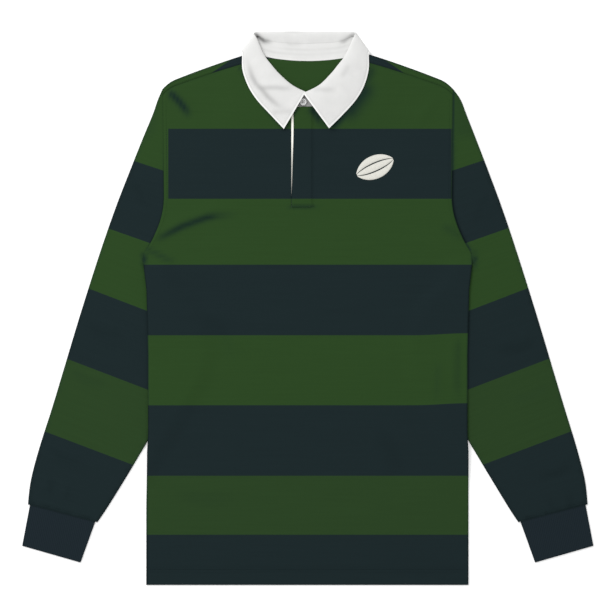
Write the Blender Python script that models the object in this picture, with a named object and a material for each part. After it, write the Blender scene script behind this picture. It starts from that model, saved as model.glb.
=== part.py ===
"""Rugby shirt laid flat on its back, arms down, with its sleeves tucked behind the body.

The hooped body and sleeves are jersey, the collar, neckband and placket facing are white twill, and the
cuffs are rib. Sizes are in millimetres until a mesh is made. X runs across the shirt, Y from hem to
collar and Z up from the table. While it is being shaped the hem is at Y = 0; place() then puts the origin
under the middle of the shirt's box.
"""

import math
from collections import namedtuple

import bmesh
import bpy
from mathutils import Vector

MM = 0.001

# Cloth
WALL = 1.2            # jersey and rib
TWILL = 1.5           # collar cloth, two plies and an interlining
SEAM = 0.3            # clear gap between pieces that are sewn together
LAYER = WALL + SEAM   # from one laid layer to the next
FOLD = (WALL + LAYER) / 2   # radius of the outside of a flat fold of two layers

# Shirt, from the hem up
LENGTH = 791.0        # hem to the top of the collar
HEM_HALF = 229.6
ARMPIT_Y = 474.0
ARMPIT_X = 234.5
ARMHOLE_X = 206.0     # half the width across the chest at its narrowest
ARMHOLE_BEND_Y = 556.0
ARMHOLE_TOP_X = 207.7
ARMHOLE_TOP_Y = 709.0
NECK_X = 83.0         # half the width of the neck
NECK_Y = 759.3
SHOULDER_SLOPE = 0.30
SHOULDER_CURVE = 0.00047
SHOULDER_ROUND_X = 190.0
SHOULDER_ROUND = 0.02
BACK_NECK_Y = 748.3
FRONT_NECK_Y = 683.0
FRONT_NECK_POWER = 2.2
FLAP_AT_NECK = 12.0   # how far the back comes over the shoulder to the forward seam
FLAP_AT_ARM = 8.0

# Half the width of the body below the armpit
Side = namedtuple("Side", "y half")
SIDES = (
    Side(0.0, HEM_HALF),
    Side(190.0, HEM_HALF),
    Side(215.0, 228.0),
    Side(330.0, 227.9),
    Side(421.0, 230.4),
    Side(457.0, 234.2),
    Side(ARMPIT_Y, ARMPIT_X),
)

# One sleeve, from the armhole to the cuff seam: both edges of each section, and how much of the armhole's
# hollow the section still has
Section = namedtuple("Section", "outer_x outer_y inner_x inner_y bow")
SLEEVE = (
    Section(ARMHOLE_TOP_X + SEAM, ARMHOLE_TOP_Y, ARMPIT_X + SEAM, ARMPIT_Y, 1.0),
    Section(217.0, 693.0, 235.4, 463.0, 0.5),
    Section(225.5, 671.0, 234.7, 452.0, 0.0),
    Section(239.3, 635.7, 222.0, 430.0, 0.0),
    Section(255.7, 592.9, 198.0, 408.0, 0.0),
    Section(277.1, 535.7, 177.0, 375.0, 0.0),
    Section(301.4, 464.3, 168.0, 335.0, 0.0),
    Section(328.6, 378.6, 178.0, 292.0, 0.0),
    Section(350.5, 306.0, 203.0, 250.0, 0.0),
    Section(366.5, 253.0, 229.9, 206.3, 0.0),
    Section(384.0, 196.0, 262.0, 153.5, 0.0),
    Section(395.7, 150.0, 289.0, 109.5, 0.0),
    Section(400.0, 115.0, 302.6, 89.3, 0.0),
)
CUFF_END = Section(407.9, 56.8, 326.6, 32.9, 0.0)
CUFF_INSET = 3.0      # the sleeve is this much wider than its cuff at each end of the seam
CUFF_ROWS = 3

# How far the body is raised over the tucked sleeves, and round the neck over the collar's back half
SLEEVE_LIFT = 3.6
SLEEVE_LIFT_MARGIN = 14.0
SLEEVE_LIFT_RAMP = 34.0
ARMPIT_RAMP = 22.0
NECK_LIFT = TWILL + 0.75
NECK_LIFT_Y = (645.0, 680.0)
NECK_LIFT_X = (140.0, 100.0)

# Front opening, lapped left over right
OPENING_LEFT = -23.6
OPENING_RIGHT = 9.3
OPENING_BOTTOM = 540.0
FACING_RIGHT = 3.0
FLAP_EDGE_TOP = -19.0
FLAP_EDGE_BOTTOM = -22.6
FLAP_TURN = 3.5       # from here to its seam the flap comes down to the front's level

# Button
BUTTON_X = -6.5
BUTTON_Y = 690.0
BUTTON_RADIUS = 5.0
BUTTON_THICK = 2.2
BUTTON_SIDES = 24

# Levels of the cloth's middle round the neck
BACK_NECK_Z = WALL / 2 + NECK_LIFT
FRONT_NECK_Z = BACK_NECK_Z + LAYER
FALL_Z = TWILL / 2

# The collar's fall, from the centre front to the centre back: where a section leaves the neckband, where it
# rolls over, where it ends, and the heights that its curve is drawn towards on either side of the roll
Roll = namedtuple(
    "Roll", "seam_x seam_y seam_z roll_x roll_y roll_z edge_x edge_y edge_z under_z over_z"
)
COLLAR = (
    Roll(3.4, 700.6, 4.4, 2.2, 702.6, 6.6, 32.4, 652.0, 6.6, 4.4, 11.4),
    Roll(20.0, 711.6, 4.4, 19.1, 713.2, 6.9, 52.6, 672.9, 6.2, 4.4, 11.6),
    Roll(37.6, 727.4, 4.4, 36.4, 728.8, 7.1, 69.9, 692.9, 6.1, 4.4, 11.6),
    Roll(48.3, 741.2, 4.4, 46.9, 742.3, 7.1, 81.3, 712.9, 6.1, 4.4, 11.4),
    Roll(58.6, 756.0, 4.4, 57.0, 757.0, 7.1, 88.2, 736.0, 6.1, 4.4, 11.0),
    Roll(70.0, 779.4, 4.4, 68.4, 781.0, 7.1, 88.6, 757.0, 6.1, 4.8, 9.8),
    Roll(69.8, 784.0, 3.7, 72.0, 787.4, 4.8, 91.4, 760.0, 3.6, 4.8, 4.4),
    Roll(66.0, 783.6, 2.9, 68.6, 789.4, 3.0, 88.0, 757.6, FALL_Z, 5.6, FALL_Z),
    Roll(44.0, 776.2, 2.9, 46.0, 790.1, 3.3, 60.0, 729.5, FALL_Z, 8.2, FALL_Z),
    Roll(0.0, 773.6, 2.9, 0.0, 790.25, 3.3, 0.0, 727.0, FALL_Z, 8.4, FALL_Z),
)
COLLAR_STEPS = 2      # sections made between two rows of the table
UNDER_STEPS = 3
OVER_STEPS = 7
OVER_PULL = 0.4       # how far towards the edge the roll's fullness reaches, over the front and behind
BEHIND_PULL = 0.1

# The neckband's seam to the body, beside each row of the collar's table as far as the side of the neck
FRONT_FEET = (0.04, 0.22, 0.45, 0.65, 0.85, 0.99)
BACK_FEET = (0.60, 0.0)
BAND_GAP = 0.8        # from the band to the collar, and where both turn at the side of the neck
CREASE_GAP = 2.8
BAND_LAP_X = -9.0     # where the two ends of the band meet at the front
BAND_END_Y = 700.0

COLORS = {
    "jersey": ((0.028, 0.062, 0.020), 0.92),
    "rib": ((0.014, 0.024, 0.026), 0.95),
    "twill": ((0.80, 0.80, 0.78), 0.85),
    "button": ((0.55, 0.55, 0.53), 0.45),
}


def smooth(t):
    t = min(1.0, max(0.0, t))
    return t * t * (3 - 2 * t)


def ramp(value, start, end):
    return smooth((value - start) / (end - start))


def lerp(a, b, t):
    return a + (b - a) * t


def between(rows, t):
    """A row of the table at a place between its rows, on a smooth curve through them."""
    i = min(int(t), len(rows) - 2)
    f = t - i
    a, b = rows[i], rows[i + 1]
    before = rows[i - 1] if i > 0 else a
    after = rows[i + 2] if i + 2 < len(rows) else b
    values = []
    for p, q, r, s in zip(before, a, b, after):
        values.append(
            q + 0.5 * f * (r - p + f * (2 * p - 5 * q + 4 * r - s + f * (3 * (q - r) + s - p)))
        )
    return type(a)(*values)


def steps(rows, count):
    """The table's rows with more of them between, count to each space."""
    spaces = (len(rows) - 1) * count
    return [between(rows, k / count) for k in range(spaces + 1)]


def read(rows, y, column="half"):
    """A column of a table whose first column is a rising height, by straight lines."""
    for low, high in zip(rows, rows[1:]):
        if y <= high.y:
            break
    f = min(1.0, max(0.0, (y - low.y) / (high.y - low.y)))
    return lerp(getattr(low, column), getattr(high, column), f)


# ---------------------------------------------------------------- outlines


def half_width(y):
    """Half the width of the body: side seam, then the curve of the armhole, then its straight run."""
    if y <= ARMPIT_Y:
        return read(SIDES, y)
    if y < ARMHOLE_BEND_Y:
        t = (ARMHOLE_BEND_Y - y) / (ARMHOLE_BEND_Y - ARMPIT_Y)
        return ARMHOLE_X + (ARMPIT_X - ARMHOLE_X) * t * t
    t = (y - ARMHOLE_BEND_Y) / (ARMHOLE_TOP_Y - ARMHOLE_BEND_Y)
    return lerp(ARMHOLE_X, ARMHOLE_TOP_X, min(1.0, t))


def shoulder(x):
    """Height of the fold over the shoulder."""
    d = abs(x) - NECK_X
    drop = SHOULDER_SLOPE * d + SHOULDER_CURVE * d * d
    return NECK_Y - drop - SHOULDER_ROUND * max(0.0, abs(x) - SHOULDER_ROUND_X) ** 2


def flap_depth(x):
    t = (abs(x) - NECK_X) / (ARMHOLE_TOP_X - NECK_X)
    return lerp(FLAP_AT_NECK, FLAP_AT_ARM, min(1.0, max(0.0, t)))


def forward_seam(x):
    """Top edge of the front, where the back comes over the shoulder to meet it."""
    return shoulder(x) - flap_depth(x) - SEAM


def back_neckline(x):
    return lerp(BACK_NECK_Y, NECK_Y, (x / NECK_X) ** 2)


def front_neckline(x):
    rise = forward_seam(NECK_X) - FRONT_NECK_Y
    return FRONT_NECK_Y + rise * (abs(x) / NECK_X) ** FRONT_NECK_POWER


def tucked_edge(y):
    """The sleeve's inner edge at this height, behind the body and on past it."""
    rows = [Side(s.inner_y, s.inner_x) for s in reversed(SLEEVE)]
    return read(rows, y)


def lift(x, y):
    """How far the body's cloth is raised off the table."""
    edge = tucked_edge(y) - SLEEVE_LIFT_MARGIN
    over_sleeve = ramp(abs(x), edge - SLEEVE_LIFT_RAMP, edge) * ramp(ARMPIT_Y - y, 0, ARMPIT_RAMP)
    over_fall = ramp(y, *NECK_LIFT_Y) * ramp(-abs(x), -NECK_LIFT_X[0], -NECK_LIFT_X[1])
    return SLEEVE_LIFT * over_sleeve + NECK_LIFT * over_fall


def back_z(x, y):
    return lift(x, y) + WALL / 2


def front_z(x, y):
    return back_z(x, y) + LAYER


# ---------------------------------------------------------------- meshes


def place(point):
    x, y, z = point
    return Vector((x, y - LENGTH / 2, z)) * MM


def material(slot):
    found = bpy.data.materials.get(slot)
    if found:
        return found
    color, roughness = COLORS[slot]
    made = bpy.data.materials.new(slot)
    made.use_nodes = True
    shader = made.node_tree.nodes["Principled BSDF"]
    shader.inputs["Base Color"].default_value = (*color, 1.0)
    shader.inputs["Roughness"].default_value = roughness
    shader.inputs["Metallic"].default_value = 0.0
    return made


def finish(name, mesh, slot):
    bmesh.ops.recalc_face_normals(mesh, faces=mesh.faces)
    data = bpy.data.meshes.new(name)
    mesh.to_mesh(data)
    mesh.free()
    data.materials.append(material(slot))
    data.shade_smooth()
    data.set_sharp_from_angle(angle=math.radians(40))
    made = bpy.data.objects.new(name, data)
    bpy.context.scene.collection.objects.link(made)
    return made


def wall(name, outer, inner, slot, round_about=False, skip=None, caps=()):
    """One closed solid between two skins, each a list of rows of points.

    Each cap is a loop of (row, column) places that one flat face fills in both skins.
    """
    mesh = bmesh.new()
    skins = [[[mesh.verts.new(place(p)) for p in row] for row in skin] for skin in (outer, inner)]
    columns = len(outer[0])
    loops = list(caps)
    for i in range(len(outer) - 1):
        for j in range(columns if round_about else columns - 1):
            if not (skip and skip(i, j)):
                k = (j + 1) % columns
                loops.append([(i, j), (i, k), (i + 1, k), (i + 1, j)])
    border = set()
    for loop in loops:
        mesh.faces.new([skins[0][a][b] for a, b in loop])
        mesh.faces.new([skins[1][a][b] for a, b in reversed(loop)])
        for edge in zip(loop, loop[1:] + loop[:1]):
            if edge[::-1] in border:
                border.remove(edge[::-1])
            else:
                border.add(edge)
    for (a, b), (c, d) in sorted(border):
        mesh.faces.new([skins[0][c][d], skins[0][a][b], skins[1][a][b], skins[1][c][d]])
    bmesh.ops.delete(mesh, geom=[v for v in mesh.verts if not v.link_faces], context="VERTS")
    bmesh.ops.triangulate(mesh, faces=[f for f in mesh.faces if len(f.verts) > 4])
    return finish(name, mesh, slot)


def raised(rows, amount):
    return [[(x, y, z + amount) for x, y, z in row] for row in rows]


def flat_wall(name, rows, slot, thick=WALL, skip=None):
    """A wall on a nearly level middle surface."""
    return wall(name, raised(rows, thick / 2), raised(rows, -thick / 2), slot, skip=skip)


def offset(rows, amount):
    """The rows moved along the surface's own normals."""
    moved = []
    for i, row in enumerate(rows):
        line = []
        for j, p in enumerate(row):
            along = Vector(rows[min(i + 1, len(rows) - 1)][j]) - Vector(rows[max(i - 1, 0)][j])
            across = Vector(row[min(j + 1, len(row) - 1)]) - Vector(row[max(j - 1, 0)])
            line.append(tuple(Vector(p) + along.cross(across).normalized() * amount))
        moved.append(line)
    return moved


def curved_wall(name, rows, slot, thick):
    return wall(name, offset(rows, thick / 2), offset(rows, -thick / 2), slot)


# ---------------------------------------------------------------- body

LEVEL_ROWS = (0, 60, 120, 150, 180, 210, 260, 320, 380, 415, 440, 457, 474, 495, 516, 540, 556, 645)
FAN_ROWS = (0.5, 1.0)
SHOULDER_COLUMNS = (1.0, 0.93, 0.86, 0.78, 0.70, 0.61, 0.50)
NECK_COLUMN = NECK_X / ARMHOLE_TOP_X
NECK_COLUMNS = (0.33, 0.26, 0.18)
FOLD_ANGLES = (-90, -30, 30, 90)


def columns():
    """Shares of the half width, with a column at each side of the neck and of the front opening."""
    side = SHOULDER_COLUMNS + (NECK_COLUMN,) + NECK_COLUMNS
    middle = (OPENING_LEFT / ARMHOLE_X, OPENING_RIGHT / ARMHOLE_X)
    return [-u for u in side] + list(middle) + list(reversed(side))


def panel(top, level):
    """Middle surface of a body panel whose upper edge is top(x), at the height level(x, y)."""
    rows = []
    for y in LEVEL_ROWS:
        rows.append([(u * half_width(y), y) for u in columns()])
    base = LEVEL_ROWS[-1]
    for share in FAN_ROWS:
        row = []
        for u in columns():
            y = lerp(base, top(u * half_width(ARMHOLE_TOP_Y)), share)
            row.append((u * half_width(y), y))
        rows.append(row)
    return [[(x, y, level(x, y)) for x, y in row] for row in rows]


def in_neck(j):
    us = columns()
    return abs(us[j] + us[j + 1]) / 2 < NECK_COLUMN


def back_top(x):
    """Upper edge of the back before the shoulder turns over."""
    if abs(x) < NECK_X - 0.01:
        return back_neckline(x)
    return shoulder(x) - FOLD


def make_back():
    """The back, with the strip of it that comes over each shoulder to the forward seam."""
    rows = panel(back_top, back_z)
    skins = []
    for out, side in ((FOLD, -1), (FOLD - WALL, 1)):
        skin = raised(rows, side * WALL / 2)
        ridge = rows[-1]
        for angle in FOLD_ANGLES[1:]:
            a = math.radians(angle)
            skin.append(
                [
                    (x, y + out * math.cos(a), lift(x, y) + FOLD + out * math.sin(a))
                    for x, y, z in ridge
                ]
            )
        top = FOLD + out
        skin.append([(x, y + FOLD - flap_depth(x), lift(x, y) + top) for x, y, z in ridge])
        skins.append(skin)
    last = len(rows) - 1
    wall("back_panel", *skins, "jersey", skip=lambda i, j: i >= last and in_neck(j))


def front_top(x):
    return front_neckline(x) if abs(x) < NECK_X - 0.01 else forward_seam(x)


def make_front():
    rows = panel(front_top, front_z)
    bottom = LEVEL_ROWS.index(OPENING_BOTTOM)
    middle = len(SHOULDER_COLUMNS) + 1 + len(NECK_COLUMNS)
    flat_wall("front_panel", rows, "jersey", skip=lambda i, j: i >= bottom and j == middle)


# ---------------------------------------------------------------- front opening


def make_facing():
    """White facing that fills the opening under the flap."""
    rows = []
    left, right = OPENING_LEFT + SEAM, FACING_RIGHT
    bottom = OPENING_BOTTOM + SEAM
    for k in range(9):
        row = []
        for f in (0.0, 0.5, 1.0):
            x = lerp(left, right, f)
            y = lerp(bottom, front_neckline(x) - SEAM, k / 8)
            row.append((x, y, front_z(x, y)))
        rows.append(row)
    flat_wall("placket_facing", rows, "twill")


def flap_edge(y):
    t = (y - OPENING_BOTTOM) / (FRONT_NECK_Y - OPENING_BOTTOM)
    return lerp(FLAP_EDGE_BOTTOM, FLAP_EDGE_TOP, t)


def make_flap():
    """The flap of body cloth over the facing, sewn to the front down its right side."""
    rows = []
    right = OPENING_RIGHT - SEAM
    bottom = OPENING_BOTTOM + SEAM
    for k in range(9):
        y = lerp(bottom, FRONT_NECK_Y - SEAM, k / 8)
        row = []
        for x, rise in (
            (flap_edge(y), LAYER),
            (lerp(flap_edge(y), FLAP_TURN, 0.5), LAYER),
            (FLAP_TURN, LAYER),
            (right, 0.0),
        ):
            row.append((x, y, front_z(x, y) + rise))
        rows.append(row)
    flat_wall("placket_flap", rows, "jersey")


def make_button():
    """A turned disc with a rounded rim and a shallow dish."""
    base = FRONT_NECK_Z + WALL / 2 + SEAM
    r, t = BUTTON_RADIUS, BUTTON_THICK
    profile = (
        (0.0, 0.0),
        (0.86 * r, 0.0),
        (r, 0.3 * t),
        (r, 0.7 * t),
        (0.9 * r, t),
        (0.72 * r, t),
        (0.62 * r, 0.7 * t),
        (0.0, 0.7 * t),
    )
    mesh = bmesh.new()
    rings = []
    for radius, z in profile:
        count = BUTTON_SIDES if radius else 1
        ring = []
        for k in range(count):
            a = 2 * math.pi * k / BUTTON_SIDES
            x = BUTTON_X + radius * math.cos(a)
            y = BUTTON_Y + radius * math.sin(a)
            ring.append(mesh.verts.new(place((x, y, base + z))))
        rings.append(ring)
    for low, high in zip(rings, rings[1:]):
        for k in range(BUTTON_SIDES):
            n = (k + 1) % BUTTON_SIDES
            corners = [low[k % len(low)], low[n % len(low)], high[n % len(high)], high[k % len(high)]]
            mesh.faces.new(list(dict.fromkeys(corners)))
    finish("button", mesh, "button")


# ---------------------------------------------------------------- sleeves and cuffs

ARMHOLE_ROWS = (ARMHOLE_TOP_Y, 632.0, 556.0, 540.0, 516.0, 495.0, ARMPIT_Y)
EDGE_ANGLES = (90, 30, -30, -90)


def inward(before, after, side):
    """Unit vector square to an edge going down the tube, to its left where side is 1, else to its right."""
    along = (Vector(after) - Vector(before)).normalized()
    return Vector((-along.y, along.x)) * side


def flat_ring(points, outer_in, inner_in, inset):
    """Ring of a flattened tube whose laid outline runs through points from edge to edge."""
    radius = FOLD - inset
    ring = [(x, y, FOLD + radius) for x, y in points[1:-1]]
    for (x, y), turn, angles in (
        (points[-1], inner_in, EDGE_ANGLES),
        (points[0], outer_in, EDGE_ANGLES[::-1]),
    ):
        if angles[0] < 0:
            ring += [(px, py, FOLD - radius) for px, py in reversed(points[1:-1])]
        for angle in angles:
            a = math.radians(angle)
            reach = FOLD - radius * math.cos(a)
            ring.append((x + turn.x * reach, y + turn.y * reach, FOLD + radius * math.sin(a)))
    return ring


def sleeve_points(section, shares):
    """Points across a section, hollowed by what is left of the armhole's curve."""
    first = SLEEVE[0]
    points = []
    for f in shares:
        y0 = lerp(first.outer_y, first.inner_y, f)
        hollow = half_width(y0) + SEAM - lerp(first.outer_x, first.inner_x, f)
        x = lerp(section.outer_x, section.inner_x, f) + section.bow * hollow
        points.append((x, lerp(section.outer_y, section.inner_y, f)))
    return points


def flat_caps(rows, across):
    """The upper and lower faces of a flattened tube, each as one loop from fold to fold.

    A ring holds the points across its upper side, the inner fold, the lower side and the outer fold.
    """
    fold = len(EDGE_ANGLES)
    last = rows - 1
    upper = [2 * across + 2 * fold - 1] + list(range(across + 1))
    lower = list(range(across + fold - 1, 2 * across + fold + 1))
    caps = []
    for side in (upper, lower):
        start = [(0, j) for j in side]
        end = [(last, j) for j in reversed(side)]
        there = [(i, side[-1]) for i in range(1, last)]
        back = [(i, side[0]) for i in range(last - 1, 0, -1)]
        caps.append(start + there + end + back)
    return caps, set(upper[:-1]) | set(lower[:-1])


def tube(name, sections, shares, slot, turns, mirror):
    """A flattened tube through the sections, whose two level sides are each filled in one piece."""
    skins = []
    for inset in (0.0, WALL):
        skin = []
        for section, (outer_in, inner_in) in zip(sections, turns):
            ring = flat_ring(sleeve_points(section, shares), outer_in, inner_in, inset)
            skin.append([(mirror * x, y, z) for x, y, z in ring])
        skins.append(skin)
    caps, flat = flat_caps(len(sections), len(shares) - 2)
    wall(name, *skins, slot, round_about=True, skip=lambda i, j: j in flat, caps=caps)


def edge_turns(sections):
    """For each section, which way is into the tube from its outer and from its inner edge."""
    turns = []
    last = len(sections) - 1
    for i in range(len(sections)):
        a, b = sections[max(i - 1, 0)], sections[min(i + 1, last)]
        outer = inward((a.outer_x, a.outer_y), (b.outer_x, b.outer_y), -1)
        inner = inward((a.inner_x, a.inner_y), (b.inner_x, b.inner_y), 1)
        turns.append((outer, inner))
    return turns


def make_sleeve(name, mirror):
    turns = edge_turns(SLEEVE)
    turns[0] = (Vector((0, -1)), Vector((1, 0)))
    reach = ARMHOLE_TOP_Y - ARMPIT_Y
    shares = [(ARMHOLE_TOP_Y - y) / reach for y in ARMHOLE_ROWS]
    tube(name, SLEEVE, shares, "jersey", turns, mirror)


def cuff_sections():
    """From just past the sleeve's end to the cuff's own end."""
    end = SLEEVE[-1]
    outer, inner = Vector(end[0:2]), Vector(end[2:4])
    across = (inner - outer).normalized()
    down = Vector((-across.y, across.x))
    if down.y > 0:
        down = -down
    outer = outer + across * CUFF_INSET + down * SEAM
    inner = inner - across * CUFF_INSET + down * SEAM
    start = Section(outer.x, outer.y, inner.x, inner.y, 0.0)
    return [
        Section(*(lerp(a, b, k / CUFF_ROWS) for a, b in zip(start, CUFF_END)))
        for k in range(CUFF_ROWS + 1)
    ]


def make_cuff(name, mirror):
    sections = cuff_sections()
    tube(name, sections, [k / 6 for k in range(7)], "rib", edge_turns(sections), mirror)


# ---------------------------------------------------------------- collar


def collar_section(row):
    """Points from the neckband, round the roll and out to the free edge."""
    seam = Vector((row.seam_x, row.seam_y, row.seam_z))
    roll = Vector((row.roll_x, row.roll_y, row.roll_z))
    edge = Vector((row.edge_x, row.edge_y, row.edge_z))
    under = Vector((row.roll_x, row.roll_y, row.under_z))
    over = Vector((row.roll_x, row.roll_y, row.over_z))
    far = lerp(roll, edge, OVER_PULL if row.over_z > FALL_Z else BEHIND_PULL)
    far.z = row.over_z
    points = []
    for k in range(UNDER_STEPS):
        t = k / UNDER_STEPS
        points.append(seam * (1 - t) ** 2 + under * 2 * t * (1 - t) + roll * t * t)
    for k in range(OVER_STEPS + 1):
        t = (k / OVER_STEPS) ** 1.5
        s = 1 - t
        points.append(roll * s**3 + over * 3 * s * s * t + far * 3 * s * t * t + edge * t**3)
    return [(p.x, p.y, max(p.z, FALL_Z)) for p in points]


def both_halves(half):
    """Sections of one half, front to back, carried on round the other half."""
    other = [[(-x, y, z) for x, y, z in line] for line in half]
    return half + other[-2::-1]


def make_collar():
    half = [collar_section(row) for row in steps(COLLAR, COLLAR_STEPS)]
    curved_wall("collar", both_halves(half), "twill", TWILL)


def above(neckline, x):
    """Height just above a neckline as the panel's columns cut it, a seam's gap clear of it."""
    cuts = [u * ARMHOLE_TOP_X for u in columns()]
    for a, b in zip(cuts, cuts[1:]):
        if x <= b:
            break
    slope = (neckline(b) - neckline(a)) / (b - a)
    return neckline(a) + slope * (x - a) + SEAM * math.hypot(1, slope)


def band_feet():
    """The neckband's seam to the body beside each row of the collar's table."""
    front = [
        (NECK_X * f, above(front_neckline, NECK_X * f), FRONT_NECK_Z) for f in FRONT_FEET[:-1]
    ]
    inset = NECK_X - SEAM
    side = [
        (inset - 0.2, NECK_Y - 2.0, FRONT_NECK_Z),
        (inset + 0.6, NECK_Y + 2.2, (FRONT_NECK_Z + BACK_NECK_Z) / 2),
        (inset - 0.8, NECK_Y + 1.4, BACK_NECK_Z),
    ]
    back = [(NECK_X * f, above(back_neckline, NECK_X * f), BACK_NECK_Z) for f in BACK_FEET]
    return front + side + back


def band_section(t):
    """Foot, middle and head of the band beside the collar's section t."""
    feet = band_feet()
    i = min(int(t), len(feet) - 2)
    foot = lerp(Vector(feet[i]), Vector(feet[i + 1]), t - i)
    if t < len(FRONT_FEET) - 2:
        share = lerp(FRONT_FEET[i], FRONT_FEET[i + 1], t - i)
        foot.y = above(front_neckline, NECK_X * share)
    row = between(COLLAR, t)
    head = Vector((row.seam_x, row.seam_y, row.seam_z))
    gap = CREASE_GAP if len(FRONT_FEET) - 1 < t < len(FRONT_FEET) + 1 else BAND_GAP
    head = head + (foot - head).normalized() * gap
    return [tuple(lerp(foot, head, f)) for f in (0.0, 0.5, 1.0)]


def make_band():
    """The band goes right round the neck and its two ends meet under the collar's points."""
    count = (len(COLLAR) - 1) * COLLAR_STEPS
    half = [band_section(k / COLLAR_STEPS) for k in range(count + 1)]
    near, far = half[0], half[1]
    end = BAND_LAP_X + SEAM / 2
    foot_y = above(front_neckline, end)
    head_z = near[-1][2]
    lap = [
        (end, lerp(foot_y, BAND_END_Y, f), lerp(FRONT_NECK_Z, head_z, f)) for f in (0.0, 0.5, 1.0)
    ]
    start = BAND_LAP_X - SEAM / 2
    butt = []
    for (ax, ay, az), (bx, by, bz) in zip(near, far):
        f = (-start - ax) / (bx - ax)
        butt.append((start, lerp(ay, by, f), lerp(az, bz, f)))
    other = [[(-x, y, z) for x, y, z in line] for line in half[-2:0:-1]]
    curved_wall("neckband", [lap] + half + other + [butt], "twill", WALL)


def main():
    for old in list(bpy.data.objects):
        bpy.data.objects.remove(old)
    make_back()
    make_front()
    make_facing()
    make_flap()
    make_button()
    for side, mirror in (("left", 1), ("right", -1)):
        make_sleeve("sleeve_" + side, mirror)
        make_cuff("cuff_" + side, mirror)
    make_band()
    make_collar()


main()
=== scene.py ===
import math
from collections import namedtuple

import bmesh
import bpy
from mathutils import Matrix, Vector
from mathutils.geometry import delaunay_2d_cdt


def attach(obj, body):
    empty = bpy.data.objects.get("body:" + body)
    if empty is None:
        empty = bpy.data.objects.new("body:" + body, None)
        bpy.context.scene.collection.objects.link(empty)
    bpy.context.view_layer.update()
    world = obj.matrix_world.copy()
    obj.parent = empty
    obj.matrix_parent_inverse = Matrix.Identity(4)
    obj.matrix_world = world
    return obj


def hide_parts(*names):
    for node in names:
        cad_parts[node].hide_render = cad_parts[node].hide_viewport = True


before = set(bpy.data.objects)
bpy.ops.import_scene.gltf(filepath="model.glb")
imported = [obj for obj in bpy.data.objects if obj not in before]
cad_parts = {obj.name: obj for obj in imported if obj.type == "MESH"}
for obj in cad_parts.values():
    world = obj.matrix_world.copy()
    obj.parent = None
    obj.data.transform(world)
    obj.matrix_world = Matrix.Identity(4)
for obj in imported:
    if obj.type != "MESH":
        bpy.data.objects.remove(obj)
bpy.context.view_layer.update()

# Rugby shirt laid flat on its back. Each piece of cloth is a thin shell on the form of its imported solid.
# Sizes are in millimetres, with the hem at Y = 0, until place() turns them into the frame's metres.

MM = 0.001

# ---------------------------------------------------------------- the shirt's sizes

WALL = 1.2
TWILL = 1.5
SEAM = 0.3
LAYER = WALL + SEAM
FOLD = (WALL + LAYER) / 2

LENGTH = 791.0
HEM_HALF = 229.6
HEM_DEEP = 24.0
HEM_SET = 1.2         # how far the wearer's right side lies out at the hem
HEM_SET_Y = (190.0, 100.0)
ARMPIT_Y = 474.0
ARMPIT_X = 234.5
ARMHOLE_X = 206.0
ARMHOLE_BEND_Y = 556.0
ARMHOLE_TOP_X = 207.7
ARMHOLE_TOP_Y = 709.0
NECK_X = 83.0
NECK_Y = 759.3
SHOULDER_SLOPE = 0.30
SHOULDER_CURVE = 0.00047
SHOULDER_ROUND_X = 190.0
SHOULDER_ROUND = 0.02
BACK_NECK_Y = 748.3
FRONT_NECK_Y = 683.0
FRONT_NECK_POWER = 2.2
FLAP_AT_NECK = 12.0
FLAP_AT_ARM = 8.0

Side = namedtuple("Side", "y half")
SIDES = (
    Side(0.0, HEM_HALF),
    Side(190.0, HEM_HALF),
    Side(215.0, 228.0),
    Side(330.0, 227.9),
    Side(421.0, 230.4),
    Side(452.0, 234.0),
    Side(463.0, 235.0),
    Side(ARMPIT_Y, ARMPIT_X),
)

Section = namedtuple("Section", "outer_x outer_y inner_x inner_y")
SLEEVE = (
    Section(ARMHOLE_TOP_X - 0.25, ARMHOLE_TOP_Y, ARMPIT_X - 1.5, ARMPIT_Y - 0.8),
    Section(217.0, 693.0, 232.4, 463.0),
    Section(225.5, 671.0, 230.8, 452.0),
    Section(239.3, 635.7, 222.0, 430.0),
    Section(255.7, 592.9, 198.0, 408.0),
    Section(277.1, 535.7, 177.0, 375.0),
    Section(301.4, 464.3, 168.0, 335.0),
    Section(328.6, 378.6, 178.0, 292.0),
    Section(350.5, 306.0, 203.0, 250.0),
    Section(366.5, 253.0, 229.9, 206.3),
    Section(384.0, 196.0, 262.0, 153.5),
    Section(395.7, 150.0, 289.0, 109.5),
    Section(400.0, 115.0, 302.6, 89.3),
)
CUFF_END = Section(408.0, 55.9, 326.5, 32.0)
Pull = namedtuple("Pull", "left_outer left_inner right_outer right_inner")
# How far each sleeve lies out from the drafted one, row by row of its table, and its cuff's end last
SLEEVE_SET = (
    Pull(0.0, 0.0, 0.0, 0.0),
    Pull(1.6, 0.0, -2.6, 0.0),
    Pull(1.7, 0.0, -3.4, 0.0),
    Pull(1.7, 0.0, -2.5, 0.0),
    Pull(1.7, 0.0, -1.9, 0.0),
    Pull(1.5, 0.0, -1.2, 0.0),
    Pull(1.0, 0.0, -0.9, 0.0),
    Pull(0.6, 0.0, -1.0, 0.0),
    Pull(0.4, 0.0, -1.1, -0.6),
    Pull(0.3, -0.7, -1.1, -1.6),
    Pull(0.3, -1.2, -0.4, -2.4),
    Pull(0.3, -1.4, 0.0, -2.0),
    Pull(0.0, -1.6, 0.0, -1.8),
    Pull(0.2, -1.7, 0.2, -1.8),
)
CUFF_INSET = 3.0
CUFF_TUCK = 0.4
CUFF_LONG = 57.0
TUCKED_SIDES = [Side(s.inner_y, s.inner_x) for s in reversed(SLEEVE)]

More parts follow.
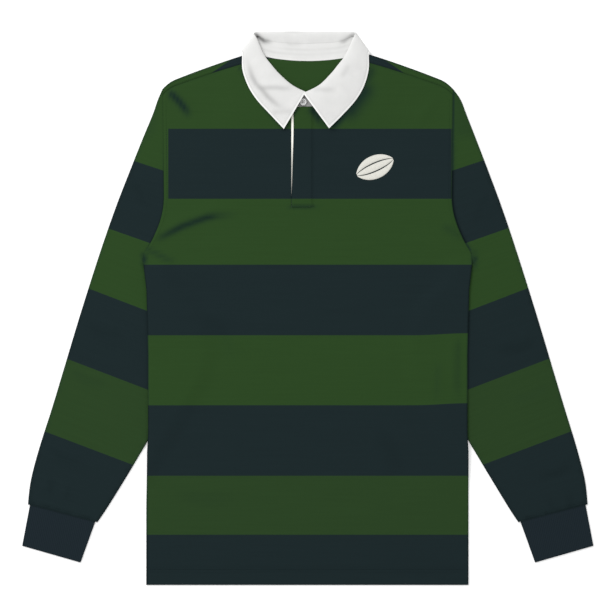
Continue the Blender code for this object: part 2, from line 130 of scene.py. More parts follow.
SLEEVE_LIFT = 3.6
SLEEVE_LIFT_MARGIN = 14.0
SLEEVE_LIFT_RAMP = 34.0
ARMPIT_RAMP = 22.0
NECK_LIFT = TWILL + 0.75
NECK_LIFT_Y = (645.0, 680.0)
NECK_LIFT_X = (140.0, 100.0)

OPENING_LEFT = -23.6
OPENING_RIGHT = 9.3
OPENING_BOTTOM = 540.0
FACING_RIGHT = 3.0
FLAP_EDGE_TOP = -20.2
FLAP_EDGE_BOTTOM = -23.5
FLAP_TURN = 3.5

BUTTON_X = -6.5
BUTTON_Y = 690.0
BUTTON_RADIUS = 5.0
BUTTON_THICK = 2.2
HOLE_RADIUS = 0.55
HOLE_PLACE = 1.15

BACK_NECK_Z = WALL / 2 + NECK_LIFT
FRONT_NECK_Z = BACK_NECK_Z + LAYER
FALL_Z = TWILL / 2
TOPSTITCH_GAP = 3.2

Roll = namedtuple(
    "Roll", "seam_x seam_y seam_z roll_x roll_y roll_z edge_x edge_y edge_z under_z over_z"
)
COLLAR = (
    Roll(3.4, 700.6, 4.4, 2.2, 702.6, 6.6, 32.4, 652.0, 6.6, 4.4, 11.4),
    Roll(20.0, 711.6, 4.4, 19.1, 713.2, 6.9, 52.6, 672.9, 6.2, 4.4, 11.6),
    Roll(37.6, 727.4, 4.4, 36.4, 728.8, 7.1, 69.9, 692.9, 6.1, 4.4, 11.6),
    Roll(48.3, 741.2, 4.4, 46.9, 742.3, 7.1, 81.3, 712.9, 6.1, 4.4, 11.4),
    Roll(58.6, 756.0, 4.4, 57.0, 757.0, 7.1, 88.2, 736.0, 6.1, 4.4, 11.0),
    Roll(70.0, 779.4, 4.4, 68.4, 781.0, 7.1, 88.6, 757.0, 6.1, 4.8, 9.8),
    Roll(69.8, 784.0, 3.7, 72.0, 787.4, 4.8, 91.4, 760.0, 3.6, 4.8, 4.4),
    Roll(66.0, 783.6, 2.9, 68.6, 789.4, 3.0, 88.0, 757.6, FALL_Z, 5.6, FALL_Z),
    Roll(44.0, 776.2, 2.9, 46.0, 790.1, 3.3, 60.0, 729.5, FALL_Z, 8.2, FALL_Z),
    Roll(0.0, 773.6, 2.9, 0.0, 790.25, 3.3, 0.0, 727.0, FALL_Z, 8.4, FALL_Z),
)
OVER_PULL = 0.4
BEHIND_PULL = 0.1
FRONT_FEET = (0.04, 0.22, 0.45, 0.65, 0.85, 0.99)
BACK_FEET = (0.60, 0.0)
BAND_GAP = 0.8
CREASE_GAP = 2.8
BAND_LAP_X = -9.0
BAND_END_Y = 700.0

# ---------------------------------------------------------------- hoops and creases

# Heights in the cloth where one hoop ends and the next begins, navy first at the hem
BODY_HOOPS = (72.1, 156.4, 257.1, 357.1, 457.9, 552.1, 652.1, 752.1)

# The front's upper navy hoop, and where it turns green beside each armhole
GREEN_SIDE_HOOP = (551.0, 653.0)
GREEN_SIDES_X = (-199.3, 205.0)

# The same lines across a sleeve, from its outer to its inner edge, green first at the armhole
HoopLine = namedtuple("HoopLine", "outer_x outer_y inner_x inner_y")
SLEEVE_HOOPS = (
    HoopLine(218.0, 704.2, 191.5, 696.6),
    HoopLine(251.1, 606.4, 208.8, 592.4),
    HoopLine(284.1, 508.6, 226.1, 488.2),
    HoopLine(311.8, 422.9, 230.9, 391.9),
    HoopLine(341.7, 321.9, 231.2, 279.7),
    HoopLine(375.1, 218.7, 253.2, 172.4),
    HoopLine(400.0, 115.0, 302.6, 89.3),
)
HOOP_STEP = 100.0
SLEEVE_STEPS = [k * HOOP_STEP for k in range(1, 6)]

# A soft crease: the line its trough follows, how wide it is, how high the cloth stands beside it, on
# which side, and how much light the trough loses
Crease = namedtuple("Crease", "line width height side depth")
FRONT_CREASES = (
    Crease(((-201, 709), (-195, 702), (-184, 691), (-175, 680), (-166, 664)), 6.0, 1.6, 1, 1.15),
    Crease(
        ((-221, 490), (-209, 497), (-180, 512), (-161, 519), (-144, 525), (-130, 527), (-92, 530)),
        6.0, 2.0, 1, 0.95,
    ),
    Crease(((-240, 486), (-226, 478), (-206, 468), (-184, 460)), 5, 1.0, -1, 0.45),
    Crease(((216, 362), (214, 336), (213, 296), (215, 254)), 6, 0.9, -1, 0.24),
    Crease(((188, 322), (185, 296), (184, 256)), 6, 0.7, 1, 0.15),
    Crease(((-34, 541), (-18, 541), (2, 541), (20, 542)), 3.0, 0.5, -1, 0.60),
    Crease(((222, 492), (206, 506), (188, 516)), 7, 1.0, -1, 0.25),
    Crease(((-150, 392), (-120, 360), (-104, 318)), 14, 0.9, 1, 0.08),
    Crease(((96, 226), (120, 190), (132, 150)), 15, 0.9, -1, 0.08),
    Crease(((-196, 132), (-150, 120), (-92, 124)), 13, 0.8, 1, 0.08),
)
BACK_CREASES = (
    Crease(((-214, 500), (-176, 520), (-132, 530), (-80, 526)), 8, 0.9, 1, 0.30),
    Crease(((196, 700), (176, 676), (160, 646)), 7, 0.9, -1, 0.28),
    Crease(((150, 420), (118, 380), (104, 330), (108, 276)), 12, 0.8, 1, 0.16),
    Crease(((-120, 240), (-92, 196), (-86, 140)), 12, 0.8, -1, 0.16),
    Crease(((-40, 640), (0, 622), (44, 636)), 12, 0.6, 1, 0.12),
)
SLEEVE_CREASES = (
    Crease(((262, 560), (246, 540), (238, 510)), 8, 1.0, 1, 0.10),
    Crease(((330, 352), (300, 338), (262, 336)), 9, 1.1, -1, 0.12),
    Crease(((352, 290), (322, 270), (286, 262)), 8, 0.9, 1, 0.10),
    Crease(((382, 176), (356, 160), (322, 154)), 7, 0.9, -1, 0.12),
    Crease(((344, 128), (350, 108), (352, 98)), 5, 0.8, 1, 0.14),
    Crease(((370, 136), (374, 118), (374, 106)), 5, 0.7, -1, 0.12),
)
LEAF_CREASES = (
    Crease(
        ((-90, 762), (-85, 744), (-80, 727), (-74, 716), (-65, 707), (-57, 697), (-50, 691), (-40, 683),
         (-18, 677)),
        5.0, 0.8, -1, 0.30,
    ),
    Crease(((-76, 710), (-62, 710), (-45, 710), (-34, 709), (-16, 709)), 4.6, 0.5, 1, 0.20),
    Crease(((-54, 676), (-45, 675), (-28, 676), (-20, 679)), 4.5, 0.4, -1, 0.14),
    Crease(((4, 706), (14, 708), (28, 707), (44, 708)), 5, 0.4, 1, 0.12),
    Crease(((60, 746), (54, 734), (46, 722)), 5, 0.4, -1, 0.10),
)
# Painted shade, with no height, where the fall's inner corners are pinched behind the leaves
INSIDE_CREASES = (
    Crease(((-80, 790), (-74, 786), (-68, 781), (-62, 777), (-46, 776)), 4.2, 0.0, 1, 0.75),
    Crease(((70, 790), (63, 785), (52, 777), (42, 775)), 3.8, 0.0, 1, 0.38),
    Crease(((-40, 792), (-25, 790), (-4, 790)), 2.4, 0.0, 1, 0.16),
    Crease(((-34, 774), (-22, 772), (-6, 773)), 2.6, 0.0, 1, 0.10),
)
CREASE_REACH = 4.0    # widths from its line to where a crease has gone
CREASE_FADE = 0.32    # share of its length over which it fades at each end

# The shade beside and under the collar's leaves, as lines across the front
Shadow = namedtuple("Shadow", "start end width depth")
COLLAR_SHADOWS = (
    Shadow((37, 656), (60, 679), 6.0, 0.95),
    Shadow((60, 679), (80, 706), 13.0, 0.95),
    Shadow((78, 704), (90, 734), 7.0, 0.60),
    Shadow((8, 678), (23, 659), 6.5, 1.0),
    Shadow((-32, 650), (-60, 679), 2.2, 0.60),
    Shadow((-60, 679), (-96, 738), 2.2, 0.60),
    Shadow((-30, 655), (-12, 684), 2.2, 0.50),
)
# The painted shade in the small hollow at each armpit
Hollow = namedtuple("Hollow", "x y wide tall")
LEFT_HOLLOW = Hollow(238.0, 465.0, 3.8, 10.0)
RIGHT_HOLLOW = Hollow(-233.5, 465.0, 3.6, 7.5)

SetLine = namedtuple("SetLine", "roll_x roll_y edge_x edge_y")
# How far each leaf has been pulled from the drafted collar as it was laid, row by row of its table
LEFT_LEAF_SET = (
    SetLine(-8.7, -0.6, -2.0, 0.3),
    SetLine(-3.0, 0.0, -1.6, 0.0),
    SetLine(-4.0, 0.0, -1.2, 0.0),
    SetLine(-3.4, 0.0, -1.0, 0.0),
    SetLine(-2.6, 0.0, -1.4, 0.0),
    SetLine(-3.2, 0.0, -1.6, 0.0),
    SetLine(-3.4, 0.0, -2.6, 0.0),
    SetLine(-3.6, 0.0, -3.4, 0.0),
    SetLine(-3.8, 0.0, -3.8, 0.0),
    SetLine(-3.8, 0.0, -3.8, 0.0),
)
RIGHT_LEAF_SET = (
    SetLine(-1.0, 1.0, -1.8, -0.6),
    SetLine(-3.2, 0.2, -1.8, 0.0),
    SetLine(-3.8, 0.0, -2.8, 0.0),
    SetLine(-5.2, 0.0, -4.0, 0.0),
    SetLine(-6.0, 0.0, -5.0, 0.0),
    SetLine(-5.2, 0.0, -5.2, 0.0),
    SetLine(-4.4, 0.0, -5.0, 0.0),
    SetLine(-4.0, 0.0, -4.4, 0.0),
    SetLine(-3.8, 0.0, -3.8, 0.0),
    SetLine(-3.8, 0.0, -3.8, 0.0),
)

# ---------------------------------------------------------------- curves and outlines


def clamped(t):
    return min(1.0, max(0.0, t))


def smooth(t):
    t = clamped(t)
    return t * t * (3 - 2 * t)


def ramp(value, start, end):
    """0 until start, 1 from end on, and smooth between them."""
    return smooth((value - start) / (end - start))


def hump(distance, width):
    """1 in the middle of a soft ridge or trough, and less to both sides."""
    return math.exp(-((distance / width) ** 2))


def lerp(a, b, t):
    return a + (b - a) * t


def spread(a, b, count):
    """Values from a to b in this many even steps."""
    return [lerp(a, b, k / count) for k in range(count + 1)]


def between(rows, t):
    """A row of the table at a place between its rows, on a smooth curve through them."""
    i = min(int(t), len(rows) - 2)
    f = t - i
    a, b = rows[i], rows[i + 1]
    before = rows[i - 1] if i > 0 else a
    after = rows[i + 2] if i + 2 < len(rows) else b
    values = []
    for p, q, r, s in zip(before, a, b, after):
        values.append(
            q + 0.5 * f * (r - p + f * (2 * p - 5 * q + 4 * r - s + f * (3 * (q - r) + s - p)))
        )
    return type(a)(*values)


def read(rows, y):
    """Half width at a height, from a table of them."""
    for low, high in zip(rows, rows[1:]):
        if y <= high.y:
            break
    return lerp(low.half, high.half, clamped((y - low.y) / (high.y - low.y)))


def half_width(y):
    if y <= ARMPIT_Y:
        return read(SIDES, y)
    if y < ARMHOLE_BEND_Y:
        t = (ARMHOLE_BEND_Y - y) / (ARMHOLE_BEND_Y - ARMPIT_Y)
        return ARMHOLE_X + (ARMPIT_X - ARMHOLE_X) * t * t
    t = (y - ARMHOLE_BEND_Y) / (ARMHOLE_TOP_Y - ARMHOLE_BEND_Y)
    return lerp(ARMHOLE_X, ARMHOLE_TOP_X, min(1.0, t))


def shoulder(x):
    d = abs(x) - NECK_X
    drop = SHOULDER_SLOPE * d + SHOULDER_CURVE * d * d
    return NECK_Y - drop - SHOULDER_ROUND * max(0.0, abs(x) - SHOULDER_ROUND_X) ** 2


def flap_depth(x):
    """How deep the back's strip in front of the shoulder is."""
    return lerp(FLAP_AT_NECK, FLAP_AT_ARM, clamped((abs(x) - NECK_X) / (ARMHOLE_TOP_X - NECK_X)))


def forward_seam(x):
    return shoulder(x) - flap_depth(x) - SEAM


def back_neckline(x):
    return lerp(BACK_NECK_Y, NECK_Y, (x / NECK_X) ** 2)


def front_neckline(x):
    rise = forward_seam(NECK_X) - FRONT_NECK_Y
    return FRONT_NECK_Y + rise * (abs(x) / NECK_X) ** FRONT_NECK_POWER


def front_edge(x):
    return front_neckline(x) if abs(x) < NECK_X - 0.01 else forward_seam(x)


def back_edge(x):
    return back_neckline(x) if abs(x) < NECK_X - 0.01 else shoulder(x) - FOLD


def lift(x, y):
    """How far the body stands off the table, over the sleeves' tucked sides and the collar's fall."""
    edge = read(TUCKED_SIDES, y) - SLEEVE_LIFT_MARGIN
    over_sleeve = ramp(abs(x), edge - SLEEVE_LIFT_RAMP, edge) * ramp(ARMPIT_Y - y, 0, ARMPIT_RAMP)
    over_fall = ramp(y, *NECK_LIFT_Y) * ramp(abs(x), *NECK_LIFT_X)
    return SLEEVE_LIFT * over_sleeve + NECK_LIFT * over_fall


def beside(line, x, y):
    """(distance, side, share of the way along) of a place beside a line of points."""
    found = None
    for k, ((ax, ay), (bx, by)) in enumerate(zip(line, line[1:])):
        dx, dy = bx - ax, by - ay
        f = clamped(((x - ax) * dx + (y - ay) * dy) / (dx * dx + dy * dy))
        px, py = x - ax - dx * f, y - ay - dy * f
        far = math.hypot(px, py)
        if found is None or far < found[0]:
            found = (far, 1 if dx * py - dy * px > 0 else -1, (k + f) / (len(line) - 1))
    return found


def crease_at(creases, x, y):
    """(height of the cloth, share of light kept) beside and in the creases."""
    height, light = 0.0, 1.0
    for crease in creases:
        far, side, share = beside(crease.line, x, y)
        if far > CREASE_REACH * crease.width:
            continue
        fade = smooth(min(share, 1 - share) / CREASE_FADE)
        from_ridge = far * side * crease.side - crease.width
        height += crease.height * fade * hump(from_ridge, 1.1 * crease.width)
        light *= 1 - crease.depth * fade * hump(far, crease.width) ** 1.6
    return height, light


def under_relief(x, y):
    return crease_at(BACK_CREASES, x, y)


def over_relief(x, y):
    height, light = crease_at(FRONT_CREASES, x, y)
    return height + under_relief(x, y)[0], light


def back_z(x, y):
    return lift(x, y) + under_relief(x, y)[0] + WALL / 2


def front_z(x, y):
    return lift(x, y) + over_relief(x, y)[0] + WALL / 2 + LAYER


def lengths_along(path):
    at = [0.0]
    for p, q in zip(path, path[1:]):
        at.append(at[-1] + (q - p).length)
    return at


# ---------------------------------------------------------------- cloth

# A point's place in its cloth, and the share of light that it keeps
Mark = namedtuple("Mark", "across along tone")


def place(point):
    x, y, z = point
    return Vector((x, y - LENGTH / 2, z)) * MM


def link(name, data):
    made = bpy.data.objects.new(name, data)
    bpy.context.scene.collection.objects.link(made)
    return made


class Cloth:
    """A piece's points, their places in the cloth and its faces, while it is being made."""

    def __init__(self):
        self.points = []
        self.marks = []
        self.faces = []

    def add(self, point, mark):
        self.points.append(point)
        self.marks.append(mark)
        return len(self.points) - 1

    def join(self, first, second, round_about=True):
        """Faces from one row of points to the next."""
        count = len(first)
        for k in range(count if round_about else count - 1):
            n = (k + 1) % count
            self.faces.append([first[k], first[n], second[n], second[k]])

    def double(self, outer, inner, marks, skip=None, round_about=False):
        """Two skins of the same rows and columns, and the edge between them."""
        skins = []
        for rows in (outer, inner):
            skins.append([[self.add(p, m) for p, m in zip(row, line)] for row, line in zip(rows, marks)])
        columns = len(outer[0])
        border = set()
        for i in range(len(outer) - 1):
            for j in range(columns if round_about else columns - 1):
                if skip and skip(i, j):
                    continue
                k = (j + 1) % columns
                ring = ((i, j), (i, k), (i + 1, k), (i + 1, j))
                self.faces.append([skins[0][a][b] for a, b in ring])
                self.faces.append([skins[1][a][b] for a, b in reversed(ring)])
                for edge in zip(ring, ring[1:] + ring[:1]):
                    if edge[::-1] in border:
                        border.remove(edge[::-1])
                    else:
                        border.add(edge)
        for (a, b), (c, d) in sorted(border):
            self.faces.append([skins[0][c][d], skins[0][a][b], skins[1][a][b], skins[1][c][d]])

    def make(self, name, finish, slot, sharp=50):
        used = sorted({v for face in self.faces for v in face})
        new = {v: k for k, v in enumerate(used)}
        faces = [[new[v] for v in face] for face in self.faces]
        data = bpy.data.meshes.new(name)
        data.from_pydata([place(self.points[v]) for v in used], [], faces)
        for k, column in enumerate(Mark._fields):
            layer = data.attributes.new(column, "FLOAT", "POINT")
            layer.data.foreach_set("value", [self.marks[v][k] for v in used])
        mesh = bmesh.new()
        mesh.from_mesh(data)
        bmesh.ops.recalc_face_normals(mesh, faces=mesh.faces)
        mesh.to_mesh(data)
        mesh.free()
        data.materials.append(finish)
        data.shade_smooth()
        data.set_sharp_from_angle(angle=math.radians(sharp))
        made = link(name, data)
        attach(made, "root")
        return made


def in_layers(rows):
    """Rows whose points each hold three things, as three tables of one thing each."""
    return [[[point[k] for point in row] for row in rows] for k in range(3)]


def walled(x, y, z, drop, mark):
    """A place in a panel, as its upper point, its lower point and its mark."""
    return (x, y, z + WALL / 2 - drop), (x, y, z - WALL / 2), mark


def offset(rows, amounts):
    """The rows moved along the surface's own normals, each point by its own amount."""
    moved = []
    for i, row in enumerate(rows):
        line = []
        for j, p in enumerate(row):
            along = Vector(rows[min(i + 1, len(rows) - 1)][j]) - Vector(rows[max(i - 1, 0)][j])
            across = Vector(row[min(j + 1, len(row) - 1)]) - Vector(row[max(j - 1, 0)])
            line.append(tuple(Vector(p) + along.cross(across).normalized() * amounts[i][j]))
        moved.append(line)
    return moved


def both_sides(middle, halves):
    """The skins above and below a sheet's middle, half its own thickness away at each point."""
    return offset(middle, [[-half for half in line] for line in halves]), offset(middle, halves)


# ---------------------------------------------------------------- finishes

WALE = 1.3            # from one column of knit stitches to the next
COURSE = 1.05         # from one row of knit stitches to the next
RIB = 2.6
TWILL_STEP = 1.1
YARN_STEP = 0.7
STRAND_STEP = 0.45

NAVY = (0.0128, 0.0222, 0.0243, 1.0)
NAVY_SHADE = (0.0040, 0.0075, 0.0080, 1.0)
RIB_NAVY = (0.0136, 0.0212, 0.0266, 1.0)
GREEN = (0.0248, 0.0590, 0.0170, 1.0)
DULL_GREEN = (0.0238, 0.0532, 0.0180, 1.0)
GREEN_SHADE = (0.0105, 0.0250, 0.0185, 1.0)
WHITE = (0.735, 0.735, 0.725)
CREAM = (0.80, 0.79, 0.72)
PEARL = (0.62, 0.62, 0.62)


class Value:
    """A socket's value, to which Python's own operators add Math nodes."""

    def __init__(self, finish, socket):
        self.finish = finish
        self.socket = socket

    def maths(self, operation, first, second=0.0):
        return self.finish.node("ShaderNodeMath", {"operation": operation}, {0: first, 1: second})

    def __add__(self, other):
        return self.maths("ADD", self, other)

    __radd__ = __add__

    def __sub__(self, other):
        return self.maths("SUBTRACT", self, other)

    def __rsub__(self, other):
        return self.maths("SUBTRACT", other, self)

    def __mul__(self, other):
        return self.maths("MULTIPLY", self, other)

    __rmul__ = __mul__

    def __gt__(self, other):
        return self.maths("GREATER_THAN", self, other)

    def __lt__(self, other):
        return self.maths("LESS_THAN", self, other)

    def __abs__(self):
        return self.maths("ABSOLUTE", self)

    def or_more(self, other):
        return self.maths("MAXIMUM", self, other)

    def wave(self, pitch):
        """A hump for every pitch, from 0 to 1."""
        return abs(self.maths("SINE", self * (math.pi / pitch)))


class Finish:
    """One material and the nodes in it."""

    def __init__(self, name, roughness=0.9, specular=0.1, sheen=0.0):
        self.material = bpy.data.materials.new(name)
        self.material.use_nodes = True
        self.tree = self.material.node_tree
        self.shader = self.tree.nodes["Principled BSDF"]
        self.fix("Roughness", roughness)
        self.fix("Specular IOR Level", specular)
        self.fix("Sheen Weight", sheen)
        self.fix("Sheen Roughness", 0.45)

    def fix(self, socket, value):
        self.shader.inputs[socket].default_value = value

    def lay(self, socket, value):
        self.tree.links.new(value.socket, self.shader.inputs[socket])

    def node(self, kind, settings=None, inputs=None, output=0):
        made = self.tree.nodes.new(kind)
        for key, value in (settings or {}).items():
            setattr(made, key, value)
        for key, value in (inputs or {}).items():
            if isinstance(value, Value):
                self.tree.links.new(value.socket, made.inputs[key])
            else:
                made.inputs[key].default_value = value
        return Value(self, made.outputs[output])

    def marks(self):
        """Across, along and tone, as the cloth's points hold them."""
        return [self.node("ShaderNodeAttribute", {"attribute_name": name}, output=2) for name in Mark._fields]

    def noise(self, x, y, detail=2.0):
        vector = self.node("ShaderNodeCombineXYZ", inputs={0: x, 1: y})
        return self.node("ShaderNodeTexNoise", inputs={"Vector": vector, "Scale": 1.0, "Detail": detail})

    def mix(self, share, first, second):
        return self.node("ShaderNodeMix", {"data_type": "RGBA"}, {0: share, 6: first, 7: second}, 2)

    def colour(self, colour, share):
        """Lays a colour, with the share of it that each place keeps."""
        kept = self.node("ShaderNodeVectorMath", {"operation": "SCALE"}, {0: colour, 3: share})
        self.lay("Base Color", kept)

    def raise_by(self, height, distance, strength):
        inputs = {"Height": height, "Distance": distance * MM, "Strength": strength}
        self.lay("Normal", self.node("ShaderNodeBump", inputs=inputs))


def hooped_jersey(name, hoops, first, dull, green_sides=False):
    """Cotton jersey knitted in two colours, whose hoops end along a row of stitches.

    Its green is duller in the hoops towards the hem or cuff, between the two places in dull. With
    green_sides, the front's upper navy hoop turns green just before each armhole.
    """
    finish = Finish(name, 0.95, 0.0)
    across, along, tone = finish.marks()
    wale = across.wave(WALE)
    height = along + 0.5 * wale
    green = 1.0 if first == "green" else 0.0
    for k, edge in enumerate(hoops):
        step = height > edge
        green = green - step if (k % 2 == 0) == (first == "green") else green + step
    if green_sides:
        beside_hoop = (height > GREEN_SIDE_HOOP[0]) * (height < GREEN_SIDE_HOOP[1])
        green = green.or_more((across < GREEN_SIDES_X[0]) * beside_hoop)
        green = green.or_more(0.5 * (across > GREEN_SIDES_X[1]) * beside_hoop)
    dulled = (along > dull[0]) * (along < dull[1])
    lit = finish.mix(green, NAVY, finish.mix(dulled, GREEN, DULL_GREEN))
    shade = finish.mix(green, NAVY_SHADE, GREEN_SHADE)
    streak = finish.noise(0.010 * across, 0.42 * along, 3.0)
    fuzz = finish.noise(0.8 * across, 0.8 * along)
    loop = (along + 0.45 * wale).wave(COURSE)
    # Streak and fuzz are the yarn's own random tone; loop and wale paint shade between the stitches, beside
    # the bump below.
    kept = 0.80 + 0.16 * streak + 0.10 * fuzz + 0.08 * loop + 0.06 * wale
    finish.colour(finish.mix(1 - tone, lit, shade), kept)
    finish.lay("Roughness", 0.86 + 0.12 * fuzz)
    finish.raise_by(0.6 * wale + 0.4 * loop, 0.16, 0.7)
    return finish.material


def ribbed_knit():
    finish = Finish("navy_rib", 0.95, 0.0)
    across, along, tone = finish.marks()
    loop = (along + 0.4 * across.wave(WALE)).wave(COURSE)
    fuzz = finish.noise(0.8 * across, 0.8 * along)
    valley = across.wave(RIB)
    # Fuzz is the yarn's own random tone; valley and loop paint shade between the ribs and between the loops,
    # beside the bump below.
    kept = 0.78 + 0.24 * valley + 0.10 * fuzz + 0.06 * loop
    finish.colour(finish.mix(1 - tone, RIB_NAVY, NAVY_SHADE), kept)
    finish.lay("Roughness", 0.88 + 0.10 * fuzz)
    finish.raise_by(0.5 * valley + 0.5 * loop, 0.18, 0.7)
    return finish.material


def twill(name, colour):
    """Cotton twill, whose fine lines slope across the yarns under them."""
    finish = Finish(name, 0.85, 0.2, 0.05)
    across, along, tone = finish.marks()
    line = (across + along).wave(TWILL_STEP)
    yarn = (across - 0.6 * along).wave(YARN_STEP)
    cloud = finish.noise(0.05 * across, 0.05 * along, 3.0)
    # Cloud is the cloth's own random tone; line and yarn paint shade between the twill's ridges and yarns,
    # beside the bump below.
    finish.colour(colour, tone * (0.885 + 0.03 * line + 0.02 * yarn + 0.14 * cloud))
    finish.lay("Roughness", 0.80 + 0.08 * cloud)
    finish.raise_by(0.6 * line + 0.4 * yarn, 0.08, 0.6)
    return finish.material


def satin_thread():
    """Cream embroidery thread, lying side by side across the motif."""
    finish = Finish("cream_thread", 0.5, 0.4, 0.1)
    across, along, tone = finish.marks()
    strand = across.wave(STRAND_STEP)
    cloud = finish.noise(0.3 * across, 0.05 * along)
    # Cloud is the thread's own random tone; strand paints shade between the strands, beside the bump below.
    finish.colour(CREAM, tone * (0.86 + 0.10 * strand + 0.08 * cloud))
    finish.raise_by(strand, 0.15, 0.8)
    return finish.material


def pearl_button():
    finish = Finish("pearl_button", 0.35, 0.5)
    across, along, tone = finish.marks()
    cloud = finish.noise(0.25 * across, 0.4 * along, 3.0)
    finish.colour(PEARL, tone * (0.85 + 0.30 * cloud))
    finish.lay("Roughness", 0.28 + 0.14 * cloud)
    return finish.material


BODY_JERSEY = hooped_jersey("body_jersey", BODY_HOOPS, "navy", (0.0, 250.0))
FRONT_JERSEY = hooped_jersey("front_jersey", BODY_HOOPS, "navy", (0.0, 250.0), green_sides=True)
SLEEVE_JERSEY = hooped_jersey("sleeve_jersey", SLEEVE_STEPS, "green", (350.0, 600.0))
RIB_KNIT = ribbed_knit()
COLLAR_TWILL = twill("white_twill", WHITE)
FACING_TWILL = twill("facing_twill", CREAM)
THREAD = satin_thread()
BUTTON = pearl_button()

# ---------------------------------------------------------------- light on seams and edges


def seam_rim(distance, width=2.2, depth=0.55):
    """Light kept where the cloth turns down at a seam or an edge."""
    return 1 - depth * (1 - smooth(distance / width))


def turned(distance, width=2.6):
    """How far an edge has turned down, from 0 to 1."""
    return clamped(1 - distance / width) ** 2


def near_collar(x, y):
    """Light kept by the front beside the collar's leaves."""
    if y < 630 or abs(x) > 115:
        return 1.0
    light = 1.0
    for shadow in COLLAR_SHADOWS:
        far = beside((shadow.start, shadow.end), x, y)[0]
        light = min(light, 1 - shadow.depth * hump(far, shadow.width))
    return light


def under_arm(x, y):
    """Light kept in the small hollow at each armpit."""
    hollow = LEFT_HOLLOW if x > 0 else RIGHT_HOLLOW
    return 1 - hump(x - hollow.x, hollow.wide) * hump(y - hollow.y, hollow.tall)


def hem_light(y):
    """Light kept beside the edge of the turned hem."""
    return 1 - 0.10 * hump(y - HEM_DEEP, 1.6)


# ---------------------------------------------------------------- body

NECK_SHARE = NECK_X / ARMHOLE_TOP_X
EDGE_SHARES = [1.0, 0.9965, 0.991, 0.984]
OPENING_SHARES = (OPENING_LEFT / ARMHOLE_X, OPENING_RIGHT / ARMHOLE_X)
HEM_ROWS = [0.0, 1.0, 2.6, 5.0]
FAN_BASE = 645.0
FAN_STEPS = 20
STRIP_STEPS = 6


def panel_shares():
    """Shares of the half width, with lines at the neck's sides and at the front opening."""
    side = EDGE_SHARES + spread(0.965, NECK_SHARE, 25) + spread(NECK_SHARE, 0.14, 11)[1:]
    return [-u for u in side] + spread(*OPENING_SHARES, 6) + [0.07] + side[::-1]


SHARES = panel_shares()
HEIGHTS = HEM_ROWS + spread(10.0, OPENING_BOTTOM, 106) + spread(OPENING_BOTTOM, FAN_BASE, 21)[1:]


def laid_x(u, y):
    """The wearer's right side lies a little further out towards the hem."""
    return u * half_width(y) - HEM_SET * max(0.0, -u) * ramp(y, *HEM_SET_Y)


def panel(top):
    """Plan of a body panel whose upper edge is top(x)."""
    rows = [[(laid_x(u, y), y) for u in SHARES] for y in HEIGHTS]
    for k in range(1, FAN_STEPS + 1):
        row = []
        for u in SHARES:
            y = lerp(FAN_BASE, top(u * half_width(ARMHOLE_TOP_Y)), k / FAN_STEPS)
            row.append((u * half_width(y), y))
        rows.append(row)
    return rows


def from_side(x, y):
    return half_width(y) - abs(x)


def hoop_height(x, y):
    """Place of the body's cloth in its hoops, which ride up a little by the wearer's left side."""
    return y - 3.0 * ramp(x, 150, 228) * ramp(y, 200, 257) * ramp(y, 420, 357)


def hem_step(y):
    """The hem is turned up, so it stands a little higher than the cloth above it."""
    return 0.35 * ramp(y, HEM_DEEP + 1.0, HEM_DEEP - 0.5)


def front_light(x, y):
    """Light kept by the front in its creases, at its seams and beside the collar."""
    side = from_side(x, y)
    light = over_relief(x, y)[1] * near_collar(x, y) * under_arm(x, y) * hem_light(y)
    light *= seam_rim(y, 1.5, 0.15)
    if y < ARMPIT_Y:
        light *= seam_rim(side)
    if y > ARMPIT_Y - 4:
        light *= seam_rim(side, 2.0, 0.5 if x > 0 else 0.1)
    if abs(x) > NECK_X:
        light *= seam_rim(forward_seam(x) - y, 2.0, 0.14)
    return light


def front_point(x, y):
    down = max(turned(from_side(x, y)), turned(y, 2.0), turned(front_edge(x) - y, 1.6))
    mark = Mark(x, hoop_height(x, y), front_light(x, y))
    return walled(x, y, front_z(x, y), 0.75 * down - hem_step(y), mark)


def make_front():
    """The front, with a straight opening cut down from its neck."""
    start = HEIGHTS.index(OPENING_BOTTOM)

    def open_here(i, j):
        return i >= start and OPENING_SHARES[0] < (SHARES[j] + SHARES[j + 1]) / 2 < OPENING_SHARES[1]

    cloth = Cloth()
    cloth.double(*in_layers([[front_point(x, y) for x, y in row] for row in panel(front_edge)]), open_here)
    front = cloth.make("front", FRONT_JERSEY, "jersey")
    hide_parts("front_panel")


def back_point(x, y):
    side = from_side(x, y)
    z = back_z(x, y)
    low = z - WALL / 2 + 0.5 * max(turned(side), turned(y, 2.0))
    light = under_relief(x, y)[1] * seam_rim(side) * hem_light(y)
    return (x, y, low), (x, y, z + WALL / 2), Mark(x, hoop_height(x, y), light)


def over_shoulder(x, y, out, angle):
    """A point of the fold along the shoulder, in the skin that lies out from the fold's middle."""
    a = math.radians(angle)
    return x, y + out * math.cos(a), lift(x, y) + FOLD + out * math.sin(a)


def on_strip(x, y, out, share):
    """A point of the strip in front of that fold. Its upper skin turns down at its edges."""
    deep = flap_depth(x) - FOLD
    z = lift(x, y) + FOLD + out
    if out == FOLD:
        z -= 0.6 * (turned(deep * (1 - share), 1.6) + turned(from_side(x, y)))
    return x, y - deep * share, z


def strip_height(x, y):
    """Place in its hoops of the cloth that has come over the shoulder."""
    return x, 2 * shoulder(x) - y


def strip_mark(x, y, z, ridge_y):
    top = shoulder(x)
    light = seam_rim(top - y, 2.6, 0.85) * seam_rim(from_side(x, y), 2.4, 0.3)
    if z <= lift(x, ridge_y) + FOLD:
        return Mark(x, y, light)
    if y < top - 0.9:
        light *= seam_rim(y - top + flap_depth(x), 2.0, 0.14)
    return Mark(*strip_height(x, y), light)


